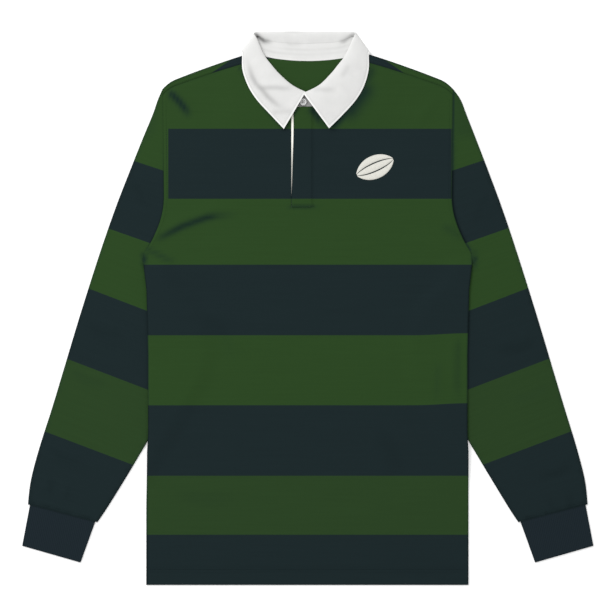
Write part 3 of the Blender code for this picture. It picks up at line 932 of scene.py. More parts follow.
def make_back():
    """The back, with the strip of it that comes over each shoulder to the forward seam."""
    plan = panel(back_edge)
    ridge = plan[-1]
    outer, inner, marks = in_layers([[back_point(x, y) for x, y in row] for row in plan])
    for skin, out in ((outer, FOLD), (inner, FOLD - WALL)):
        for angle in spread(-90, 90, 8)[1:]:
            skin.append([over_shoulder(x, y, out, angle) for x, y in ridge])
        for share in spread(0, 1, STRIP_STEPS)[1:]:
            skin.append([on_strip(x, y, out, share) for x, y in ridge])
    for row in outer[len(plan) :]:
        marks.append([strip_mark(*point, ridge_y) for point, (x, ridge_y) in zip(row, ridge)])

    def in_neck(i, j):
        return i >= len(plan) - 1 and abs(SHARES[j] + SHARES[j + 1]) / 2 < NECK_SHARE

    cloth = Cloth()
    cloth.double(outer, inner, marks, in_neck)
    back = cloth.make("back", BODY_JERSEY, "jersey")
    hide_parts("back_panel")


# ---------------------------------------------------------------- front opening

OPENING_STEPS = 48
FACING_SHARES = (0.0, 0.03, 0.07, 0.13, 0.2, 0.3, 0.5, 0.75, 1.0)
FLAP_SHARES = (0.0, 0.02, 0.05, 0.1, 0.16, 0.3, 0.5, 0.7, 0.85, 1.0)


def flap_edge(y):
    """The flap's free edge, which stands away from the opening's edge towards the collar."""
    return lerp(FLAP_EDGE_BOTTOM, FLAP_EDGE_TOP, clamped((y - 556) / (650 - 556)) ** 0.75)


def facing_point(x, share):
    y = lerp(OPENING_BOTTOM, front_neckline(x) - SEAM, share)
    light = seam_rim(flap_edge(y) - x, 1.4, 0.22) * lerp(0.75, 1.28, ramp(y, 590, 640))
    return walled(x, y, front_z(x, y), 0.5 * turned(x - OPENING_LEFT, 1.2), Mark(x, y, light))


def make_facing():
    """The white strip that fills the opening behind the flap."""
    xs = [lerp(OPENING_LEFT, FACING_RIGHT, f) for f in FACING_SHARES]
    cloth = Cloth()
    cloth.double(*in_layers([[facing_point(x, f) for x in xs] for f in spread(0, 1, OPENING_STEPS)]))
    facing = cloth.make("facing", FACING_TWILL, "twill")
    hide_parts("placket_facing")


def flap_point(x, y, rise):
    from_edge, from_end = x - flap_edge(y), y - OPENING_BOTTOM
    light = over_relief(x, y)[1] * near_collar(x, y)
    light *= seam_rim(from_edge, 1.6, 0.6) * seam_rim(from_end, 2.0, 0.22)
    down = max(turned(from_edge, 1.6), turned(from_end, 1.6))
    return walled(x, y, front_z(x, y) + rise, 0.6 * down, Mark(x, y, light))


def make_flap():
    """The flap lies on the facing, and steps down on its right to the front, where it is sewn."""
    rows = []
    for y in spread(OPENING_BOTTOM, FRONT_NECK_Y, OPENING_STEPS):
        row = [flap_point(lerp(flap_edge(y), FLAP_TURN, f), y, LAYER) for f in FLAP_SHARES]
        for f in spread(0, 1, 9)[1:]:
            row.append(flap_point(lerp(FLAP_TURN, OPENING_RIGHT, f), y, LAYER * (1 - smooth(f))))
        rows.append(row)
    cloth = Cloth()
    cloth.double(*in_layers(rows))
    flap = cloth.make("flap", BODY_JERSEY, "jersey")
    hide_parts("placket_flap")


def button_profile():
    """(radius, height) pairs from the middle of the underside, round the rim, to the dished middle."""
    r, t = BUTTON_RADIUS, BUTTON_THICK
    profile = [(0.0, 0.0), (0.5 * r, 0.0), (0.86 * r, 0.0)]
    for angle in spread(-80, 90, 8):
        a = math.radians(angle)
        profile.append((0.88 * r + 0.12 * r * math.cos(a), 0.5 * t + 0.5 * t * math.sin(a)))
    dish = ((0.76, 1.0), (0.68, 0.86), (0.60, 0.72), (0.3, 0.68), (0.0, 0.68))
    return profile + [(share * r, high * t) for share, high in dish]


def make_button():
    """A turned disc with a rolled rim, a dished middle and four thread holes."""
    cloth = Cloth()
    base = FRONT_NECK_Z + WALL / 2 + SEAM
    turns = 48
    rings = []
    for radius, z in button_profile():
        # Painted shade in the dished middle, which keeps less light than the rim.
        tone = 1.0 if radius > 0.7 * BUTTON_RADIUS else 0.85
        ring = []
        for k in range(turns if radius else 1):
            a = 2 * math.pi * k / turns
            x, y = BUTTON_X + radius * math.cos(a), BUTTON_Y + radius * math.sin(a)
            ring.append(cloth.add((x, y, base + z), Mark(x, y, tone)))
        rings.append(ring)
    for low, high in zip(rings, rings[1:]):
        for k in range(turns):
            n = (k + 1) % turns
            corners = [low[k % len(low)], low[n % len(low)], high[n % len(high)], high[k % len(high)]]
            cloth.faces.append(list(dict.fromkeys(corners)))
    button = cloth.make("button_disc", BUTTON, "button")
    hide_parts("button")
    drill_holes(button, base + BUTTON_THICK / 2)


def drill_holes(button, z):
    drill = bmesh.new()
    size = HOLE_RADIUS * MM
    for sx, sy in ((-1, -1), (-1, 1), (1, -1), (1, 1)):
        centre = place((BUTTON_X + sx * HOLE_PLACE, BUTTON_Y + sy * HOLE_PLACE, z))
        made = bmesh.ops.create_cone(
            drill, cap_ends=True, segments=16, radius1=size, radius2=size, depth=2 * BUTTON_THICK * MM
        )
        bmesh.ops.translate(drill, verts=made["verts"], vec=centre)
    holes = bpy.data.meshes.new("holes")
    drill.to_mesh(holes)
    drill.free()
    cutter = link("holes", holes)
    cut = button.modifiers.new("holes", "BOOLEAN")
    cut.operation = "DIFFERENCE"
    cut.object = cutter
    shape = bpy.data.meshes.new_from_object(button.evaluated_get(bpy.context.evaluated_depsgraph_get()))
    button.modifiers.clear()
    button.data = shape
    bpy.data.objects.remove(cutter)


# ---------------------------------------------------------------- sleeves and cuffs

TURN_ANGLES = (90, 55, 20, -20, -55, -90)
SQUARE_ROWS = 5       # rows at the armhole over which a sleeve's folded edge turns square to it
SLEEVE_GRID = 6.0
INNER_GRID = 15.0
CUFF_ROWS = [0.0, 0.012, 0.04] + spread(0.08, 0.94, 14) + [0.975, 0.992, 1.0]
CUFF_COLUMNS = 170
CUFF_FOLD_STEPS = 10
RIB_HEIGHT = 0.22


def laid_sleeve(mirror):
    """The drafted sleeve's rows and its cuff's end, pulled as this side was laid."""
    laid = []
    for row, pull in zip(SLEEVE + (CUFF_END,), SLEEVE_SET):
        outer, inner = pull[0:2] if mirror > 0 else pull[2:4]
        laid.append(row._replace(outer_x=row.outer_x + outer, inner_x=row.inner_x + inner))
    return laid


def hoop_line_place(line, x, y):
    """(along, past) of a place, measured from the outer end of a hoop line."""
    dx, dy = line.inner_x - line.outer_x, line.inner_y - line.outer_y
    px, py, long = x - line.outer_x, y - line.outer_y, math.hypot(dx, dy)
    return (px * dx + py * dy) / long, (px * dy - py * dx) / long


def hoop_place(x, y):
    """(across, along) of a point of the laid sleeve, with a whole step from each hoop line to the next."""
    past = [hoop_line_place(line, x, y)[1] for line in SLEEVE_HOOPS]
    k = 0
    while k < len(past) - 2 and past[k + 1] < 0:
        k += 1
    a, b = past[k], past[k + 1]
    along = k + (a / (a - b) if a != b else 0.0)
    line = SLEEVE_HOOPS[min(max(int(along), 0), len(SLEEVE_HOOPS) - 1)]
    return hoop_line_place(line, x, y)[0], along * HOOP_STEP


def within(outline, x, y):
    inside = False
    for a, b in zip(outline, outline[1:] + outline[:1]):
        if (a.y > y) != (b.y > y) and x < a.x + (y - a.y) / (b.y - a.y) * (b.x - a.x):
            inside = not inside
    return inside


def nearest(points, x, y):
    return min(math.hypot(p.x - x, p.y - y) for p in points)


def grid_within(outline, step):
    """Staggered rows of points that fill an outline and keep off its edge."""
    inside = []
    for i in range(int(240 / step)):
        for j in range(int(640 / step)):
            x, y = 165 + (i + 0.5 * (j % 2)) * step, 85 + j * step * 0.87
            if within(outline, x, y) and nearest(outline, x, y) > 0.55 * step:
                inside.append(Vector((x, y)))
    return inside


class Sleeve(Cloth):
    """One hooped tube laid flat, with a folded edge at each side and an open end at the armhole and cuff."""

    def __init__(self, mirror):
        super().__init__()
        self.mirror = mirror
        self.left = mirror > 0
        self.creases = SLEEVE_CREASES
        if not self.left:
            self.creases = [
                c._replace(line=tuple((x - 6, y + 22) for x, y in c.line), side=-c.side)
                for c in SLEEVE_CREASES
            ]
        rows = laid_sleeve(mirror)[:-1]
        last = rows[-1]
        rows = [between(rows, k / 6) for k in range((len(rows) - 1) * 6 + 1)]
        self.outer = [Vector((s.outer_x, s.outer_y)) for s in rows]
        self.inner = [Vector((s.inner_x, s.inner_y)) for s in rows]
        heights = spread(ARMHOLE_TOP_Y, ARMPIT_Y, 48)[1:-1]
        self.armhole = [Vector((half_width(y) - 0.25, y)) for y in heights]
        start, end = Vector(last[0:2]), Vector(last[2:4])
        self.ends = [start.lerp(end, f) for f in spread(0, 1, 18)[1:-1]]

    def relief(self, x, y, up):
        height, light = crease_at(self.creases, x, y)
        edges = min(nearest(line, x, y) for line in (self.outer, self.ends, self.armhole))
        keep = smooth(edges / 9.0)
        if y < ARMPIT_Y:
            keep *= 1 - ramp(half_width(y) + 12 - x, 0, 12)
        return (height * keep if up else 0.0), lerp(1.0, light, keep)

    def mark(self, x, y, up):
        light = self.relief(x, y, up)[1]
        if up:
            wide, depth = (5.0, 1.0) if self.left else (2.0, lerp(0.5, 0.1, ramp(y, 585, 640)))
            light *= seam_rim(nearest(self.armhole, x, y), wide, depth) if y > ARMPIT_Y - 4 else 1.0
            light *= seam_rim(nearest(self.ends, x, y), 3.0, 0.3) * under_arm(self.mirror * x, y)
        light *= seam_rim(min(nearest(self.outer, x, y), nearest(self.inner, x, y)), 2.2, 0.6)
        return Mark(*hoop_place(x, y), light)

    def put(self, x, y, z, up):
        return self.add((self.mirror * x, y, z), self.mark(x, y, up))

    def fold(self, edge, side, radius):
        """Rings of points round a folded edge, each from the upper side to the lower one."""
        rings = []
        square = Vector((0, -1)) if side < 0 else Vector((1, 0))
        for i, p in enumerate(edge):
            run = (edge[min(i + 1, len(edge) - 1)] - edge[max(i - 1, 0)]).normalized()
            turn = Vector((-run.y, run.x)) * side
            turn = turn.lerp(square, max(0.0, 1 - i / SQUARE_ROWS)).normalized()
            ring = []
            for angle in TURN_ANGLES:
                a = math.radians(angle)
                q = p + turn * (FOLD - radius * math.cos(a))
                ring.append(self.put(q.x, q.y, FOLD + radius * math.sin(a), angle > 0))
            rings.append(ring)
        for a, b in zip(rings, rings[1:]):
            self.join(a, b, round_about=False)
        return rings

    def side(self, folds, radius, up, hidden):
        """One side between the folded edges. Gives its points along the armhole and along the cuff."""
        k, z = (0, FOLD + radius) if up else (-1, FOLD - radius)
        dip = (0.5 if self.left else 0.3) if up and not hidden else 0.0
        hole = [self.put(p.x, p.y, z - dip, up) for p in self.armhole]
        end = [self.put(p.x, p.y, z - dip, up) for p in self.ends]
        rim = [ring[k] for ring in folds[0]] + end + [ring[k] for ring in folds[1]][::-1] + hole[::-1]
        outline = [Vector((self.mirror * self.points[v][0], self.points[v][1])) for v in rim]
        inside = grid_within(outline, INNER_GRID if hidden else SLEEVE_GRID)
        if not hidden:
            beside_seam = [Vector((p.x + gap, p.y)) for p in self.armhole for gap in (1.6, 3.6)]
            inside += [p for p in beside_seam if within(outline, p.x, p.y)]
        count = len(outline)
        edges = [(a, (a + 1) % count) for a in range(count)]
        points, _, faces, sources, _, _ = delaunay_2d_cdt(outline + inside, edges, [], 1, 1e-6)
        index = []
        for (x, y), source in zip(points, sources):
            if source and source[0] < count:
                index.append(rim[source[0]])
                continue
            height = 0.0 if hidden else self.relief(x, y, up)[0]
            sink = dip * turned(min(nearest(self.armhole, x, y), nearest(self.ends, x, y)), 4.0)
            index.append(self.put(x, y, z + height - sink, up))
        self.faces += [[index[v] for v in face] for face in faces]
        return hole, end

    def skin(self, inset):
        """One skin of the tube. Gives its points round the armhole and round the cuff's seam."""
        radius = FOLD - inset
        folds = (self.fold(self.outer, -1, radius), self.fold(self.inner, 1, radius))
        upper = self.side(folds, radius, True, inset > 0)
        lower = self.side(folds, radius, False, inset > 0)
        rims = []
        for opening, at in enumerate((0, -1)):
            near, far = folds[0][at], folds[1][at]
            rims.append([near[0]] + upper[opening] + far + lower[opening][::-1] + near[:0:-1])
        return rims


def make_sleeve(name, node, mirror):
    cloth = Sleeve(mirror)
    for a, b in zip(cloth.skin(0.0), cloth.skin(WALL)):
        cloth.join(a, b)
    sleeve = cloth.make(name, SLEEVE_JERSEY, "jersey")
    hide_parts(node)


def cuff_seam(mirror):
    """Both ends of the cuff where it is sewn, a little inside the sleeve's, and both of its free end."""
    end, tip = laid_sleeve(mirror)[-2:]
    outer, inner = Vector(end[0:2]), Vector(end[2:4])
    across = (inner - outer).normalized()
    tuck = Vector((-across.y, across.x)) * CUFF_TUCK
    if tuck.y < 0:
        tuck = -tuck
    start = (outer + across * CUFF_INSET + tuck, inner - across * CUFF_INSET + tuck)
    return start, (Vector(tip[0:2]), Vector(tip[2:4]))


def cuff_ring(a, b, f, inset, mirror):
    """Points and marks round the cuff's tube, at share f of the way down from its seam."""
    wide = (b - a).length
    hint = (b - a).normalized()
    from_seam, from_end = CUFF_LONG * f, CUFF_LONG * (1 - f)
    rounding = 0.0 if inset else 0.45 * max(turned(from_seam, 2.5), turned(from_end, 2.0))
    rib_height = 0.0 if inset else RIB_HEIGHT
    radius = FOLD - inset
    light = seam_rim(from_seam, 2.5, 0.35) * seam_rim(from_end, 1.6, 0.18)
    ring = []
    for up, corner, u in ((1, b, wide), (-1, a, 0.0)):
        for s in spread(0, 1, CUFF_COLUMNS)[1:-1][::up]:
            p = a.lerp(b, s)
            rib = rib_height * abs(math.sin(math.pi * wide * s / RIB))
            z = FOLD + up * (radius - RIB_HEIGHT + rib - (rounding if up > 0 else 0.5 * rounding))
            ring.append(((mirror * p.x, p.y, z), Mark(wide * s, from_seam, light)))
        for k in range(CUFF_FOLD_STEPS + 1):
            angle = math.radians(up * lerp(90, -90, k / CUFF_FOLD_STEPS))
            p = corner - up * hint * (FOLD - radius * math.cos(angle))
            z = FOLD + radius * math.sin(angle) * (1 - 0.1 * rounding)
            ring.append(((mirror * p.x, p.y, z), Mark(u + up * 0.2 * k, from_seam, light * 0.8)))
    return ring


def make_cuff(name, node, mirror):
    """The cuff's ribs run down the arm, and its cloth is one tube, knitted to its own width."""
    start, tip = cuff_seam(mirror)
    rings = []
    for inset in (0.0, WALL):
        skin = []
        for f in CUFF_ROWS:
            skin.append(cuff_ring(start[0].lerp(tip[0], f), start[1].lerp(tip[1], f), f, inset, mirror))
        rings.append(skin)
    outer, inner = [[[point for point, mark in ring] for ring in skin] for skin in rings]
    marks = [[mark for point, mark in ring] for ring in rings[0]]
    cloth = Cloth()
    cloth.double(outer, inner, marks, round_about=True)
    cuff = cloth.make(name, RIB_KNIT, "rib")
    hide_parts(node)


# ---------------------------------------------------------------- collar

UNDER_TS = spread(0, 1, 7)[:-1]
OVER_TS = [0.0, 0.02, 0.045, 0.07] + spread(0.10, 0.90, 34) + [0.92, 0.94, 0.955, 0.97, 0.982, 0.992, 1.0]
LEAF_START = len(UNDER_TS) + 4        # the first point of a section that lies on the leaf
COLLAR_TS = [0.0, 0.02, 0.04, 0.065] + [k / 15 for k in range(2, 136)]
BAND_SHARES = (0.0, 0.03, 0.07, 0.14, 0.24, 0.36, 0.5, 0.64, 0.76, 0.86, 0.93, 0.97, 1.0)


def laid_row(t, pulls):
    """The drafted collar's row of sizes, pulled as the laid leaf was."""
    row = between(COLLAR, t)
    pull = between(pulls, t)
    return row._replace(
        seam_x=row.seam_x + 0.8 * pull.roll_x,
        roll_x=row.roll_x + pull.roll_x,
        roll_y=row.roll_y + pull.roll_y,
        edge_x=row.edge_x + pull.edge_x,
        edge_y=row.edge_y + pull.edge_y,
    )


def mirrored(pulls):
    return [p._replace(roll_x=-p.roll_x, edge_x=-p.edge_x) for p in pulls]


def other_side(rows):
    return [[Vector((-p.x, p.y, p.z)) for p in row] for row in rows]


def collar_section(t, pulls):
    """Points from the neckband, round the roll and out to the free edge."""
    row = laid_row(t, pulls)
    seam = Vector((row.seam_x, row.seam_y, row.seam_z))
    roll = Vector((row.roll_x, row.roll_y, row.roll_z))
    edge = Vector((row.edge_x, row.edge_y, row.edge_z))
    under = Vector((row.roll_x, row.roll_y, row.under_z))
    over = Vector((row.roll_x, row.roll_y, row.over_z))
    far = roll.lerp(edge, OVER_PULL if row.over_z > FALL_Z else BEHIND_PULL)
    far.z = row.over_z
    points = []
    for f in UNDER_TS:
        points.append(seam * (1 - f) ** 2 + under * 2 * f * (1 - f) + roll * f * f)
    for f in OVER_TS:
        s = 1 - f
        points.append(roll * s**3 + over * 3 * s * s * f + far * 3 * s * f * f + edge * f**3)
    return [Vector((p.x, p.y, max(p.z, FALL_Z))) for p in points]


def leaf_tone(p, t, j, to_edge):
    """Light kept by the collar at point j of the section at its table's row t: painted shade in its creases
    and beside its topstitching, and painted highlight along the leaves' edges and on the roll.
    """
    if j > LEAF_START and t < 6.2:
        light = crease_at(LEAF_CREASES, p.x, p.y)[1]
        light *= 1.0 + 0.34 * hump(to_edge, 1.9)
        return light * (1.0 - 0.13 * hump(to_edge - TOPSTITCH_GAP - 0.1, 0.7))
    light = 1.01 * crease_at(INSIDE_CREASES, p.x, p.y)[1] if t > 5.0 else 1.0
    on_roll = len(UNDER_TS) - 1 <= j < LEAF_START and t < 5.4
    return 1.08 * light if on_roll else light


def leaf_relief(p, t, j, to_edge, from_roll):
    """How high the leaf stands at its creases and beside its topstitching."""
    if j <= LEAF_START or t >= 6:
        return 0.0
    rise = crease_at(LEAF_CREASES, p.x, p.y)[0] * smooth(to_edge / 7) * smooth(from_roll / 7)
    return rise - 0.22 * hump(to_edge - TOPSTITCH_GAP, 0.8)


def make_collar():
    """The white fall, rolled over in front into two pointed leaves and turned down behind the back."""
    rows = [collar_section(t, LEFT_LEAF_SET) for t in COLLAR_TS]
    rows += other_side(collar_section(t, mirrored(RIGHT_LEAF_SET)) for t in COLLAR_TS[-2::-1])
    ts = COLLAR_TS + COLLAR_TS[-2::-1]
    run = 0.0
    lines = []
    for i, (row, t) in enumerate(zip(rows, ts)):
        run += (row[-8] - rows[max(i - 1, 0)][-8]).length
        at = lengths_along(row)
        to_front = (row[-6] - rows[0 if i < len(rows) / 2 else -1][-6]).length
        line = []
        for j, p in enumerate(row):
            to_edge = min(at[-1] - at[j], to_front if j > len(UNDER_TS) else 99)
            z = p.z + leaf_relief(p, t, j, to_edge, at[j] - at[LEAF_START])
            mark = Mark(run, at[j], leaf_tone(p, t, j, to_edge))
            line.append(((p.x, p.y, z), mark, TWILL / 2 * (1 - 0.45 * turned(to_edge, 0.9))))
        lines.append(line)
    middle, marks, halves = in_layers(lines)
    up, down = both_sides(middle, halves)
    down = [[(x, y, max(z, 0.0)) for x, y, z in line] for line in down]
    cloth = Cloth()
    cloth.double(up, down, marks)
    collar = cloth.make("collar_fall", COLLAR_TWILL, "twill")
    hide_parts("collar")
    stitch_collar(up, marks, ts)


def above(neckline, x):
    slope = neckline(x + 0.5) - neckline(x - 0.5)
    return neckline(x) + SEAM * math.hypot(1, slope)


def band_feet():
    """Where the band stands on the front, at the neck's side and on the back, for the collar's rows."""
    front = [(NECK_X * f, above(front_neckline, NECK_X * f), FRONT_NECK_Z) for f in FRONT_FEET[:-1]]
    inset = NECK_X - SEAM
    side = [
        (inset - 0.2, NECK_Y - 2.0, FRONT_NECK_Z),
        (inset + 0.6, NECK_Y + 2.2, (FRONT_NECK_Z + BACK_NECK_Z) / 2),
        (inset - 0.8, NECK_Y + 1.4, BACK_NECK_Z),
    ]
    back = [(NECK_X * f, above(back_neckline, NECK_X * f), BACK_NECK_Z) for f in BACK_FEET]
    return front + side + back


def band_section(t, pulls):
    """Points from the band's foot to its head, beside the collar's section t."""
    feet = band_feet()
    i = min(int(t), len(feet) - 2)
    foot = Vector(feet[i]).lerp(Vector(feet[i + 1]), t - i)
    if t < len(FRONT_FEET) - 2:
        share = lerp(FRONT_FEET[i], FRONT_FEET[i + 1], t - i)
        foot.y = above(front_neckline, NECK_X * share)
    elif t > len(feet) - len(BACK_FEET) - 0.001:
        foot.y = above(back_neckline, foot.x)
    row = laid_row(t, pulls)
    head = Vector((row.seam_x, row.seam_y, row.seam_z))
    gap = CREASE_GAP if len(FRONT_FEET) - 1 < t < len(FRONT_FEET) + 1 else BAND_GAP
    gap = lerp(gap, 0.1, ramp(t, 6.6, 7.6))
    head = head + (foot - head).normalized() * gap
    return [foot.lerp(head, f) for f in BAND_SHARES]


def band_rows():
    """Sections of the band from its end under the button, round the neck, to its other end."""
    near = [band_section(t, LEFT_LEAF_SET) for t in COLLAR_TS]
    far = [band_section(t, mirrored(RIGHT_LEAF_SET)) for t in COLLAR_TS]
    end, butt_x = BAND_LAP_X + SEAM / 2, BAND_LAP_X - SEAM / 2
    foot_y, head_z = above(front_neckline, end), near[0][-1].z
    tip = []
    for share in BAND_SHARES:
        tip.append(Vector((end, lerp(foot_y, BAND_END_Y, share), lerp(FRONT_NECK_Z, head_z, share))))
    lap = [[a.lerp(b, f) for a, b in zip(tip, near[0])] for f in (0.0, 0.15, 0.4, 0.7)]
    butt = []
    for p, q in zip(far[6], far[8]):
        f = (-butt_x - p.x) / max(q.x - p.x, 0.01)
        butt.append(Vector((butt_x, lerp(p.y, q.y, min(f, 0.0)), p.z)))
    clear = butt_x - 0.4
    other = [row for row in other_side(far[-2:8:-1]) if row[0].x < clear and row[-1].x < clear]
    return lap + near + other + [butt]


def band_light(p, low, high):
    """Light kept by the band: more at its foot, and less in its stitch lines and behind the button."""
    light = 1.0 - 0.56 * ramp(abs(p.x + 3), 26, 16) * ramp(p.y, 712, 700)
    light *= (1.0 + 0.14 * hump(low, 1.6)) * (1.0 - 0.04 * hump(high, 1.6))
    light *= (1.0 - 0.09 * hump(low - 8.5, 0.8)) * (1.0 - 0.08 * hump(low - 16.0, 0.8))
    return light * (crease_at(INSIDE_CREASES, p.x, p.y)[1] if p.y > 750 else 1.0)


def make_band():
    """The white stand round the neck, whose ends meet under the button."""
    rows = band_rows()
    run = 0.0
    lines = []
    for i, row in enumerate(rows):
        run += (row[6] - rows[max(i - 1, 0)][6]).length
        deep = (row[-1] - row[0]).length
        line = []
        for share, p in zip(BAND_SHARES, row):
            low, high = deep * share, deep * (1 - share)
            half = WALL / 2 * (1 - 0.5 * max(turned(low, 1.2), turned(high, 1.2)))
            line.append((tuple(p), Mark(run, low, band_light(p, low, high)), half))
        lines.append(line)
    middle, marks, halves = in_layers(lines)
    cloth = Cloth()
    cloth.double(*both_sides(middle, halves), marks)
    band = cloth.make("band", COLLAR_TWILL, "twill")
    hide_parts("neckband")


# ---------------------------------------------------------------- stitches

STITCH = 2.4
STITCH_GAP = 0.7
STITCH_RADIUS = 0.26
# Along a stitch: its place, the share of its full thickness, and how far it has sunk into the cloth
StitchPart = namedtuple("StitchPart", "share thick sunk")
STITCH_PARTS = (
    StitchPart(0.0, 0.35, 0.25),
    StitchPart(0.25, 1.0, 0.0),
    StitchPart(0.75, 1.0, 0.0),
    StitchPart(1.0, 0.35, 0.25),
)


def point_at(path, at, where):
    """The point of a path at this length along it."""
    for k in range(len(at) - 2):
        if where <= at[k + 1]:
            break
    f = (where - at[k]) / max(at[k + 1] - at[k], 1e-6)
    return path[k].lerp(path[k + 1], min(f, 1.0))


def as_laid(x, y):
    return x, y


class Stitching(Cloth):
    """Rows of machine stitches, each a short thread that dips into the cloth at both ends."""

    def row(self, path, tone, to_cloth=as_laid):
        at = lengths_along(path)
        start = 0.4
        while start + STITCH < at[-1]:
            points = [point_at(path, at, start + STITCH * part.share) for part in STITCH_PARTS]
            self.stitch(points, tone, to_cloth)
            start += STITCH + STITCH_GAP

    def stitch(self, points, tone, to_cloth):
        run = (points[-1] - points[0]).normalized()
        side = run.cross(Vector((0, 0, 1))).normalized()
        up = side.cross(run)
        rings = []
        for p, part in zip(points, STITCH_PARTS):
            ring = []
            for k in range(6):
                a = math.pi * k / 3
                out = (side * math.cos(a) + up * math.sin(a)) * STITCH_RADIUS * part.thick
                q = p + out - up * part.sunk
                ring.append(self.add(tuple(q), Mark(*to_cloth(q.x, q.y), tone)))
            rings.append(ring)
        for a, b in zip(rings, rings[1:]):
            self.join(a, b)
        self.faces.append(rings[0][::-1])
        self.faces.append(rings[-1])


def on_front(x, y, extra=0.0):
    return Vector((x, y, front_z(x, y) + WALL / 2 + extra))


def stitch_body():
    """Rows along the hem, the forward seams, the armholes and the flap."""
    on_body = Stitching()
    for y in (18.5, 22.0):
        xs = spread(-half_width(y) + 3, half_width(y) - 3, 90)
        on_body.row([on_front(x, y, 0.32) for x in xs], 0.78)
        on_body.row([Vector((x, y, lift(x, y) - 0.02)) for x in xs[::-1]], 0.9)
    for mirror in (-1, 1):
        for gap in (1.6, 5.6):
            path = []
            for x in spread(NECK_X + 9, ARMHOLE_TOP_X - 3, 30):
                z = lift(x, forward_seam(x)) + 2 * FOLD + 0.02
                path.append(Vector((mirror * x, shoulder(x) - flap_depth(x) + gap, z)))
            on_body.row(path, 0.86, strip_height)
        heights = spread(ARMPIT_Y + 3, ARMHOLE_TOP_Y - 12, 60)
        on_body.row([on_front(mirror * (half_width(y) - 5.0), y) for y in heights], 0.84)
    on_body.row([on_front(FLAP_TURN + 1.5, y, LAYER * 0.8) for y in spread(546, 672, 30)], 0.86)
    on_body.row([on_front(x, OPENING_BOTTOM + 3.5, LAYER) for x in spread(-20.5, 4, 8)], 0.8)
    on_body.make("body_stitching", BODY_JERSEY, "jersey")


def stitch_sleeves():
    """Two rows round the top of each cuff."""
    for name, mirror in (("sleeve_l_stitching", 1), ("sleeve_r_stitching", -1)):
        on_sleeve = Stitching()
        last = laid_sleeve(mirror)[-2]
        a, b = Vector(last[0:2]), Vector(last[2:4])
        up = Vector((a.y - b.y, b.x - a.x)).normalized()
        up = up if up.y > 0 else -up
        for gap in (2.0, 5.0):
            path = []
            for f in spread(0.02, 0.98, 20):
                p = a.lerp(b, f) + up * gap
                path.append(Vector((mirror * p.x, p.y, 2 * FOLD - 0.02)))
            on_sleeve.row(path, 0.8, lambda x, y: hoop_place(abs(x), y))
        on_sleeve.make(name, SLEEVE_JERSEY, "jersey")


def in_from_edge(row, line):
    """The point of a collar's section where its topstitching lies."""
    where = line[-1].along - TOPSTITCH_GAP
    for j in range(len(row) - 1):
        a, b = line[j].along, line[j + 1].along
        if b >= where:
            return Vector(row[j]).lerp(Vector(row[j + 1]), (where - a) / max(b - a, 1e-6))


def stitch_collar(up, marks, ts):
    """Topstitching a little in from the leaves' edges, on the collar's own upper skin."""
    on_collar = Stitching()
    middle = len(up) // 2
    for leaf in (range(middle), range(middle, len(up))):
        on_collar.row([in_from_edge(up[i], marks[i]) for i in leaf if 0.09 <= ts[i] <= 6.0], 0.93)
    for front, behind in ((up[0], up[5]), (up[-1], up[-6])):
        path = []
        for p, q, mark in zip(front, behind, marks[0]):
            if 9 < mark.along < marks[0][-1].along - 3:
                path.append(Vector(p) + (Vector(q) - Vector(p)).normalized() * TOPSTITCH_GAP)
        on_collar.row(path, 0.93)
    on_collar.make("collar_stitching", COLLAR_TWILL, "twill")


# ---------------------------------------------------------------- chest motif

MOTIF_X = 96.0
MOTIF_Y = 597.0
MOTIF_HALF_LONG = 29.0
MOTIF_HALF_HIGH = 16.5
MOTIF_TILT = math.radians(24)
MOTIF_PANELS = ((0.40, 1.0), (-0.30, 0.30), (-1.0, -0.40))
MOTIF_SHARES = (0.0, 0.04, 0.12, 0.3, 0.5, 0.7, 0.88, 0.96, 1.0)


def motif_point(along, across, swell):
    cos, sin = math.cos(MOTIF_TILT), math.sin(MOTIF_TILT)
    x = MOTIF_X + along * cos - across * sin
    y = MOTIF_Y + along * sin + across * cos
    z = front_z(x, y) + WALL / 2
    # Painted shade towards each panel's edges, where the thread dips, beside its real swell.
    return (x, y, z + 0.12 + 0.65 * swell), (x, y, z - 0.1), Mark(along, across, 0.86 + 0.14 * swell)


def make_motif():
    """A plain oval ball in satin stitch: three panels with a narrow gap between."""
    cloth = Cloth()
    for low, high in MOTIF_PANELS:
        rows = []
        for u in spread(-0.97, 0.97, 110):
            half = MOTIF_HALF_HIGH * (1 - abs(u) ** 2.1) ** 0.72
            row = []
            for v in MOTIF_SHARES:
                swell = max(0.0, math.sin(math.pi * v)) ** 0.5
                row.append(motif_point(u * MOTIF_HALF_LONG, lerp(low, high, v) * half, swell))
            rows.append(row)
        cloth.double(*in_layers(rows))
    cloth.make("chest_ball", THREAD, "twill")


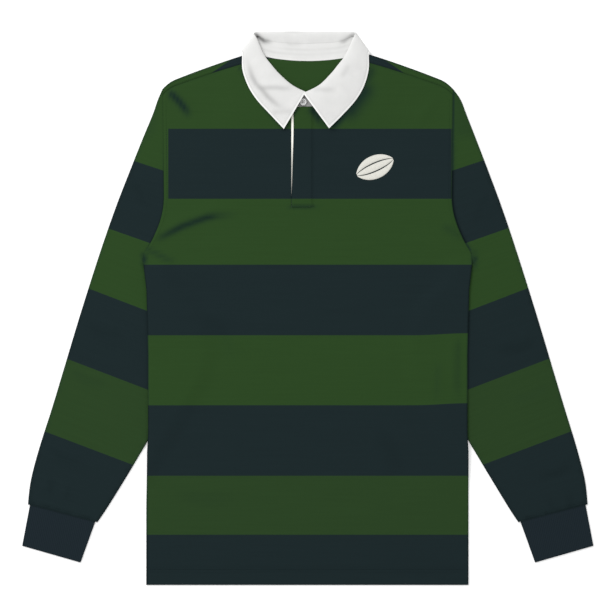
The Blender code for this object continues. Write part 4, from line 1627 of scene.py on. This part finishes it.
# ---------------------------------------------------------------- table, light and camera

FLOOR_HALF = 4.0
FLOOR_Z = -0.0003
VIEW = 857.14
VIEW_CENTRE = (-11.14, 11.65)
VIEW_TOP = 3.0


def make_stage():
    corners = [(x * FLOOR_HALF, y * FLOOR_HALF, FLOOR_Z) for x, y in ((-1, -1), (1, -1), (1, 1), (-1, 1))]
    data = bpy.data.meshes.new("floor")
    data.from_pydata(corners, [], [(0, 1, 2, 3)])
    finish = Finish("pale_floor", 0.95, 0.0)
    finish.fix("Base Color", (0.92, 0.92, 0.92, 1.0))
    finish.fix("Emission Color", (1.0, 1.0, 1.0, 1.0))
    finish.fix("Emission Strength", 0.28)
    data.materials.append(finish.material)
    link("floor", data)
    scene = bpy.context.scene
    scene.world = bpy.data.worlds.new("studio")
    scene.world.use_nodes = True
    sky = scene.world.node_tree.nodes["Background"].inputs
    sky["Color"].default_value = (1.0, 1.0, 1.0, 1.0)
    sky["Strength"].default_value = 0.75
    lamp = bpy.data.lights.new("key", "AREA")
    lamp.shape = "SQUARE"
    lamp.size = 1.6
    lamp.energy = 52.0
    key = link("key", lamp)
    key.location = (-1.7, 1.5, 2.3)
    key.rotation_euler = (-key.location).to_track_quat("-Z", "Y").to_euler()
    scene.view_settings.view_transform = "Standard"


def make_camera():
    """Straight above the shirt, far enough away to look nearly square on."""
    lens = bpy.data.cameras.new("camera")
    lens.lens = 200.0
    lens.sensor_width = 36.0
    lens.clip_end = 20.0
    height = VIEW * lens.lens / lens.sensor_width
    camera = link("camera", lens)
    camera.location = Vector((*VIEW_CENTRE, height + VIEW_TOP)) * MM
    bpy.context.scene.camera = camera


def main():
    make_camera()
    make_stage()
    for side, long_side, mirror in (("l", "left", 1), ("r", "right", -1)):
        make_sleeve("sleeve_" + side, "sleeve_" + long_side, mirror)
        make_cuff("cuff_" + side, "cuff_" + long_side, mirror)
    make_back()
    make_front()
    make_facing()
    make_flap()
    make_button()
    make_band()
    make_collar()
    stitch_body()
    stitch_sleeves()
    make_motif()


main()
